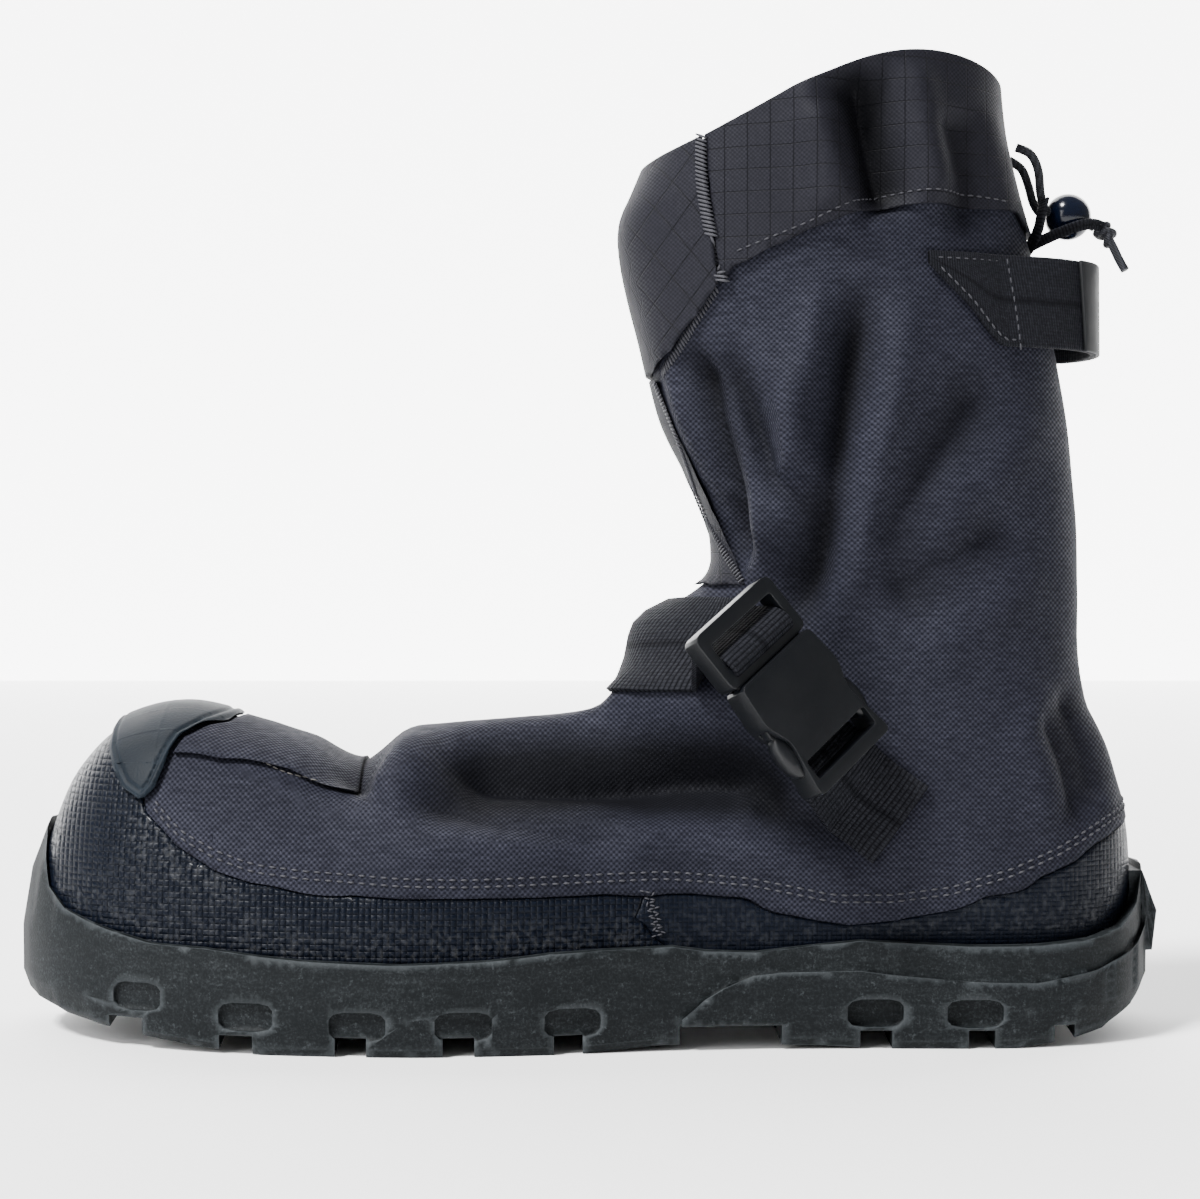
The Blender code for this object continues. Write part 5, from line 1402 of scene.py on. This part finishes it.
class OVERSHOE_OT_webbing(bpy.types.Operator):
    """Lay the strap, the heel tab and the finger loop on the boot."""

    bl_idname = "overshoe.webbing"
    bl_label = "Webbing"

    def execute(self, context):
        skin = DressedSkin("upper_nylon")
        seat = buckle_seat()
        self.strap(skin, seat)
        self.tab(skin, seat)
        self.loop(skin)
        return {"FINISHED"}

    def strap(self, skin, seat):
        made = sizes()
        half = made.webbing_width / 2
        angles = column(STRAP, ("angle", "height"), "angle")
        heights = column(STRAP, ("angle", "height"), "height")
        centres, hints = [], []
        for index in range(STRAP_STEPS):
            angle = angles[-1] + (angles[0] - angles[-1]) * index / (STRAP_STEPS - 1)
            turn = math.radians(angle)
            hints.append(Vector((-math.cos(turn), math.sin(turn), 0)))
            start = Vector((along(STRAP_AXIS_ALONG), 0, read_curve(angles, heights, angle)))
            centres.append(skin.hit(start, hints[-1])[0])
        starts = []
        for index, (centre, hint) in enumerate(zip(centres, hints)):
            run = centres[min(index + 1, STRAP_STEPS - 1)] - centres[max(index - 1, 0)]
            starts.append(spread(centre - hint * 0.02, hint.cross(run).normalized(), half, STRAP_LANES))
        rows, outs = lay_band(skin, starts, hints, (4, 3), STRAP_LIFT)
        across, out = (seat.to_3x3() @ Vector(axis) for axis in ((0, 1, 0), (0, 0, 1)))
        end = seat @ Vector((BUCKLE_LENGTH * STRAP_END, 0, -BELOW_BUCKLE))
        run_under(rows, outs, spread(end, across, half, STRAP_LANES), out)
        band("strap_webbing", rows, outs, made.webbing_width, made.webbing_thickness, "strap_webbing",
             "instep_strap")
        rows, outs = [], []
        for index, (place, height) in enumerate(HUMP):
            before, after = HUMP[max(index - 1, 0)], HUMP[min(index + 1, len(HUMP) - 1)]
            slope = Vector(((after[0] - before[0]) * BUCKLE_LENGTH, 0, after[1] - before[1])).normalized()
            centre = seat @ Vector((place * BUCKLE_LENGTH, 0, height))
            rows.append(spread(centre, across, half * HUMP_WIDTH, STRAP_LANES))
            outs.append([seat.to_3x3() @ Vector((-slope.z, 0, slope.x))] * STRAP_LANES)
        piece = band("strap_hump", rows, outs, made.webbing_width, made.webbing_thickness,
                     "strap_webbing", lift=-made.webbing_thickness)
        soft = piece.modifiers.new("soft", "SUBSURF")
        soft.levels = soft.render_levels = 2

    def tab(self, skin, seat):
        made = sizes()
        half = made.webbing_width / 2
        side = Vector((0, -1, 0))
        start = seat @ Vector((BUCKLE_LENGTH / 2 + TAB_GAP, 0, 0))
        start.y = 0
        end = Vector((TAB_END[0], 0, TAB_END[1]))
        across = side.cross((start - end).normalized()).normalized()
        starts = [spread(end.lerp(start, index / (TAB_STEPS - 1)), across, half, TAB_LANES)
                  for index in range(TAB_STEPS)]
        rows, outs = lay_band(skin, starts, [side] * TAB_STEPS, (3, 3), TAB_LIFT)
        across, out = (seat.to_3x3() @ Vector(axis) for axis in ((0, 1, 0), (0, 0, 1)))
        tip = seat @ Vector((BUCKLE_LENGTH * TAB_BUCKLE_END, 0, -BELOW_BUCKLE))
        run_under(rows, outs, spread(tip, -across, half, TAB_LANES), out)
        band("tab_webbing", rows, outs, made.webbing_width, made.webbing_thickness, "strap_webbing",
             "heel_tab")

    def loop(self, skin):
        made = sizes()
        names = ("angle", "stand", "top", "bottom")
        angles = column(LOOP, names, "angle")
        axis = Vector((along(STRAP_AXIS_ALONG), 0, LOOP_HEIGHT))
        rows, outs, label_rows, label_outs = [], [], [], []
        for index in range(LOOP_STEPS):
            share = index / (LOOP_STEPS - 1)
            angle = angles[0] + (angles[-1] - angles[0]) * share
            direction = Vector((math.cos(math.radians(angle)), math.sin(math.radians(angle)), 0))
            free, top, bottom = (read_curve(angles, column(LOOP, names, name), angle)
                                 for name in names[1:])
            centre, _ = skin.hit(axis, direction)
            row, row_outs = [], []
            for lane in range(LOOP_LANES):
                rise = bottom + (top - bottom) * lane / (LOOP_LANES - 1)
                z = LOOP_HEIGHT + made.webbing_width / 2 * rise
                place, out = skin.hit(Vector((axis.x, 0, z)), direction)
                place = place.lerp(Vector((centre.x, centre.y, z)), free) + direction * LOOP_REACH * free
                out = out.lerp(direction, max(free, 0.6)).normalized()
                row.append(place + out * STRAP_LIFT)
                row_outs.append(out)
            rows.append(row)
            outs.append(row_outs)
            if LABEL_START <= share <= LABEL_END:
                label_rows.append([point + out * (made.webbing_thickness + LABEL_LIFT)
                                   for point, out in zip(row, row_outs)])
                label_outs.append(row_outs)
        band("loop_band", rows, outs, made.webbing_width, made.webbing_thickness, "loop_webbing",
             "pull_loop")
        band("loop_label", label_rows, label_outs, made.webbing_width, LABEL_THICKNESS, "label",
             "pull_label")
        self.sew_loop(rows, outs)

    def sew_loop(self, rows, outs):
        """Stitches along the sewn ends of the loop, and up across it where they stop."""
        made = sizes()
        stitches = Stitches()
        for end, last, step in ((0, LOOP_SEWN_STEPS, 1), (-1, -1 - LOOP_SEWN_STEPS, -1)):
            end, last = end % LOOP_STEPS, last % LOOP_STEPS
            spots = range(end + 3 * step, last, step)
            for lane, inset in ((LOOP_LANES - 1, -LOOP_INSET), (0, LOOP_INSET)):
                points = [rows[i][lane] + outs[i][lane] * made.webbing_thickness + Vector((0, 0, inset))
                          for i in spots]
                stitches.along(points, [outs[i][lane] for i in spots], *LOOP_THREAD)
            points = [place + out * made.webbing_thickness for place, out in zip(rows[last], outs[last])]
            stitches.along(points, outs[last], *LOOP_THREAD)
        stitches.finish("loop_stitches", "webbing", "thread")


def buckle_seat():
    """Frame of the buckle: origin under its middle, x along it, y across, z out of its face."""
    tilt = math.radians(BUCKLE_TILT)
    turn = math.radians(BUCKLE_TURN)
    roll = math.radians(BUCKLE_ROLL)
    length_axis = Vector((math.cos(turn) * math.cos(tilt), math.sin(turn),
                          -math.cos(turn) * math.sin(tilt)))
    level_out = (Vector((0, -1, 0)) + length_axis * length_axis.y).normalized()
    level_across = level_out.cross(length_axis)
    across = level_across * math.cos(roll) - level_out * math.sin(roll)
    out = length_axis.cross(across)
    corners = [vertex.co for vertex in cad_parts["buckle_female"].data.vertices]
    far = max(corner.dot(length_axis) for corner in corners) - BUCKLE_LENGTH / 2
    sides = [corner.dot(across) for corner in corners]
    low = min(corner.dot(out) for corner in corners)
    seat = Matrix((length_axis, across, out)).transposed().to_4x4()
    seat.translation = length_axis * far + across * (max(sides) + min(sides)) / 2 + out * low
    return seat


def moulded_copy(node, name, finish, radius):
    """Moulded piece from a frame node: its flats made whole and its edges rounded."""
    data = bmesh.new()
    data.from_mesh(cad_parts[node].data)
    bmesh.ops.remove_doubles(data, verts=data.verts, dist=MERGE)
    bmesh.ops.dissolve_limit(data, angle_limit=math.radians(1.0), verts=data.verts, edges=data.edges)
    sharp = [edge for edge in data.edges if len(edge.link_faces) == 2
             and edge.calc_face_angle(0.0) > math.radians(28)]
    bmesh.ops.bevel(data, geom=sharp, offset=radius, offset_type="OFFSET", segments=3, profile=0.5,
                    affect="EDGES", clamp_overlap=True, material=-1)
    bmesh.ops.triangulate(data, faces=[face for face in data.faces if len(face.verts) > 4])
    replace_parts(place_mesh(name, data, material(finish), 42), node)


class OVERSHOE_OT_buckle(bpy.types.Operator):
    """Make the side-release buckle."""

    bl_idname = "overshoe.buckle"
    bl_label = "Buckle"

    def execute(self, context):
        seat = buckle_seat()
        moulded_copy("buckle_male", "buckle_male_half", "buckle_plastic", 0.0006)
        moulded_copy("buckle_female", "buckle_female_half", "buckle_plastic", 0.0008)
        data = bmesh.new()
        for side in (-1, 1):
            fresh = bmesh.ops.create_uvsphere(data, u_segments=32, v_segments=16, radius=1.0)
            for vertex in fresh["verts"]:
                x, y, z = vertex.co
                high = math.copysign(abs(z) ** LEVER_SQUARENESS, z)
                vertex.co = seat @ Vector((BUCKLE_LENGTH * LEVER_PLACE[0] + x * LEVER_HALF[0],
                                           side * BUCKLE_WIDTH * LEVER_PLACE[1] + y * LEVER_HALF[1],
                                           BUCKLE_THICKNESS * LEVER_PLACE[2] + high * LEVER_HALF[2]))
        bmesh.ops.recalc_face_normals(data, faces=data.faces)
        place_mesh("buckle_levers", data, material("buckle_plastic"), 0)
        return {"FINISHED"}


class OVERSHOE_OT_sewing(bpy.types.Operator):
    """Sew the rands' double rows, the overlocked edges and the strip's edge."""

    bl_idname = "overshoe.sewing"
    bl_label = "Sewing"

    def execute(self, context):
        made = sizes()
        skin = DressedSkin("upper_nylon", "cuff_cloth", "cuff_tab_cloth", "placket_cloth",
                           "vamp_strip_tape", "toe_rand_weave", "heel_rand_weave")
        for side, place in ((-1, "outer"), (1, "inner")):
            rows = Stitches()
            thread = (made.stitch_pitch, made.stitch_length, made.stitch_width)
            for rise in RAND_ROWS:
                path = [(x, float(seam_height(x)) + rise)
                        for x in np.linspace(along(RAND_START), along(RAND_END), 60)]
                rows.along(*side_line(skin, path, side), *thread)
                rows.along(*self.heel_line(skin, side, rise), *thread)
            rows.finish("rand_stitches_" + place, "shaft_nylon", "thread")
            for row in SEWN:
                seam = dict(zip(SEWN_COLUMNS, row))
                line = Stitches()
                points, outs = side_line(skin, seam["path"], side, 0.001)
                if len(points) > 2:
                    line.along(points, outs, seam["pitch"], seam["length"], seam["width"],
                               seam["slant"] * -side)
                    line.finish(seam["name"] + "_" + place, "shaft_nylon", seam["thread"])
        return {"FINISHED"}

    def heel_line(self, skin, side, rise):
        """Points round the heel, where the side view looks along the cloth."""
        points = []
        outs = []
        for step in range(HEEL_STEPS):
            turn = side * math.radians(HEEL_TURN - step * HEEL_TURN / (HEEL_STEPS - 1))
            direction = Vector((math.cos(turn), math.sin(turn), 0))
            height = HEEL_SEEK_HEIGHT
            for _ in range(4):
                place, out = skin.hit(Vector((along(HEEL_AXIS_ALONG), 0, height)), direction, 0.12)
                if place is None:
                    break
                height = float(seam_height(place.x)) + rise
            if place is not None:
                points.append(place)
                outs.append(out)
        return points, outs


class OVERSHOE_OT_cord_lock(bpy.types.Operator):
    """Make the ball, its knot and its keeper tape."""

    bl_idname = "overshoe.cord_lock"
    bl_label = "Cord lock"

    def execute(self, context):
        made = sizes()
        centre = Vector(BALL_CENTRE)
        data = bmesh.new()
        bmesh.ops.create_uvsphere(data, u_segments=48, v_segments=28, radius=BALL_RADIUS,
                                  matrix=Matrix.Translation(centre))
        ball = place_mesh("ball_lock", data, material("gloss_ball"), 0)
        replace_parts(ball, "cord_lock")
        data = bmesh.new()
        axis = Vector(KNOT_AXIS).normalized()
        for tilt, shift, size in KNOT_WRAPS:
            turned = Matrix.Rotation(math.radians(tilt), 3, "Y") @ axis
            side = turned.orthogonal().normalized()
            middle = Vector(KNOT_CENTRE) + axis * shift
            spot = Matrix((side, turned, side.cross(turned))).transposed().to_4x4()
            spot.translation = middle + side * size
            made_ring = bmesh.ops.create_circle(data, segments=14, radius=made.cord_diameter * 0.46,
                                                matrix=spot)
            edges = list({edge for vertex in made_ring["verts"] for edge in vertex.link_edges})
            bmesh.ops.spin(data, geom=edges, cent=middle, axis=turned, angle=2 * math.pi, steps=28,
                           use_merge=True)
        bmesh.ops.remove_doubles(data, verts=data.verts, dist=1e-6)
        bmesh.ops.recalc_face_normals(data, faces=data.faces)
        knot = place_mesh("knot_wraps", data, material("cord"), 0)
        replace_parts(knot, "cord_knot")
        for name, route in KEEPERS.items():
            points, _ = smooth_route(route, 0.0008)
            rows = []
            outs = []
            for index, point in enumerate(points):
                run = (points[min(index + 1, len(points) - 1)] - points[max(index - 1, 0)]).normalized()
                out = point - centre
                out = (out - run * out.dot(run)).normalized()
                across = run.cross(out)
                rows.append(spread(point, across, KEEPER_WIDTH / 2, 5))
                outs.append([out] * 5)
            band(name, rows, outs, KEEPER_WIDTH, KEEPER_THICKNESS, "keeper_webbing")
        return {"FINISHED"}


class OVERSHOE_PT_panel(bpy.types.Panel):
    """Sizes, colours and pieces of the overshoe."""

    bl_idname = "OVERSHOE_PT_panel"
    bl_label = "Winter Overshoe"
    bl_space_type = "VIEW_3D"
    bl_region_type = "UI"
    bl_category = "Overshoe"

    def draw(self, context):
        for operator in OPERATORS:
            self.layout.operator(operator.bl_idname)
        for group in (context.scene.overshoe_sizes, context.scene.overshoe_colours,
                      context.scene.overshoe_stage):
            box = self.layout.box()
            for name in group.bl_rna.properties.keys():
                if name not in ("rna_type", "name"):
                    box.prop(group, name)


OPERATORS = (OVERSHOE_OT_stage, OVERSHOE_OT_cords, OVERSHOE_OT_outsole, OVERSHOE_OT_upper,
             OVERSHOE_OT_overlays, OVERSHOE_OT_webbing, OVERSHOE_OT_buckle, OVERSHOE_OT_sewing,
             OVERSHOE_OT_cord_lock)
CLASSES = (OvershoeSizes, OvershoeColours, OvershoeStage, *OPERATORS, OVERSHOE_PT_panel)


def register():
    """Add the add-on's classes to Blender."""
    for item in CLASSES:
        bpy.utils.register_class(item)
    bpy.types.Scene.overshoe_sizes = bpy.props.PointerProperty(type=OvershoeSizes)
    bpy.types.Scene.overshoe_colours = bpy.props.PointerProperty(type=OvershoeColours)
    bpy.types.Scene.overshoe_stage = bpy.props.PointerProperty(type=OvershoeStage)


def unregister():
    """Take the add-on's classes out of Blender."""
    del bpy.types.Scene.overshoe_stage
    del bpy.types.Scene.overshoe_colours
    del bpy.types.Scene.overshoe_sizes
    for item in reversed(CLASSES):
        bpy.utils.unregister_class(item)


def main():
    """Build the whole scene."""
    register()
    bpy.ops.overshoe.stage()
    bpy.ops.overshoe.cords()
    bpy.ops.overshoe.outsole()
    bpy.ops.overshoe.upper()
    bpy.ops.overshoe.overlays()
    bpy.ops.overshoe.webbing()
    bpy.ops.overshoe.buckle()
    bpy.ops.overshoe.sewing()
    bpy.ops.overshoe.cord_lock()


if __name__ == "__main__":
    main()
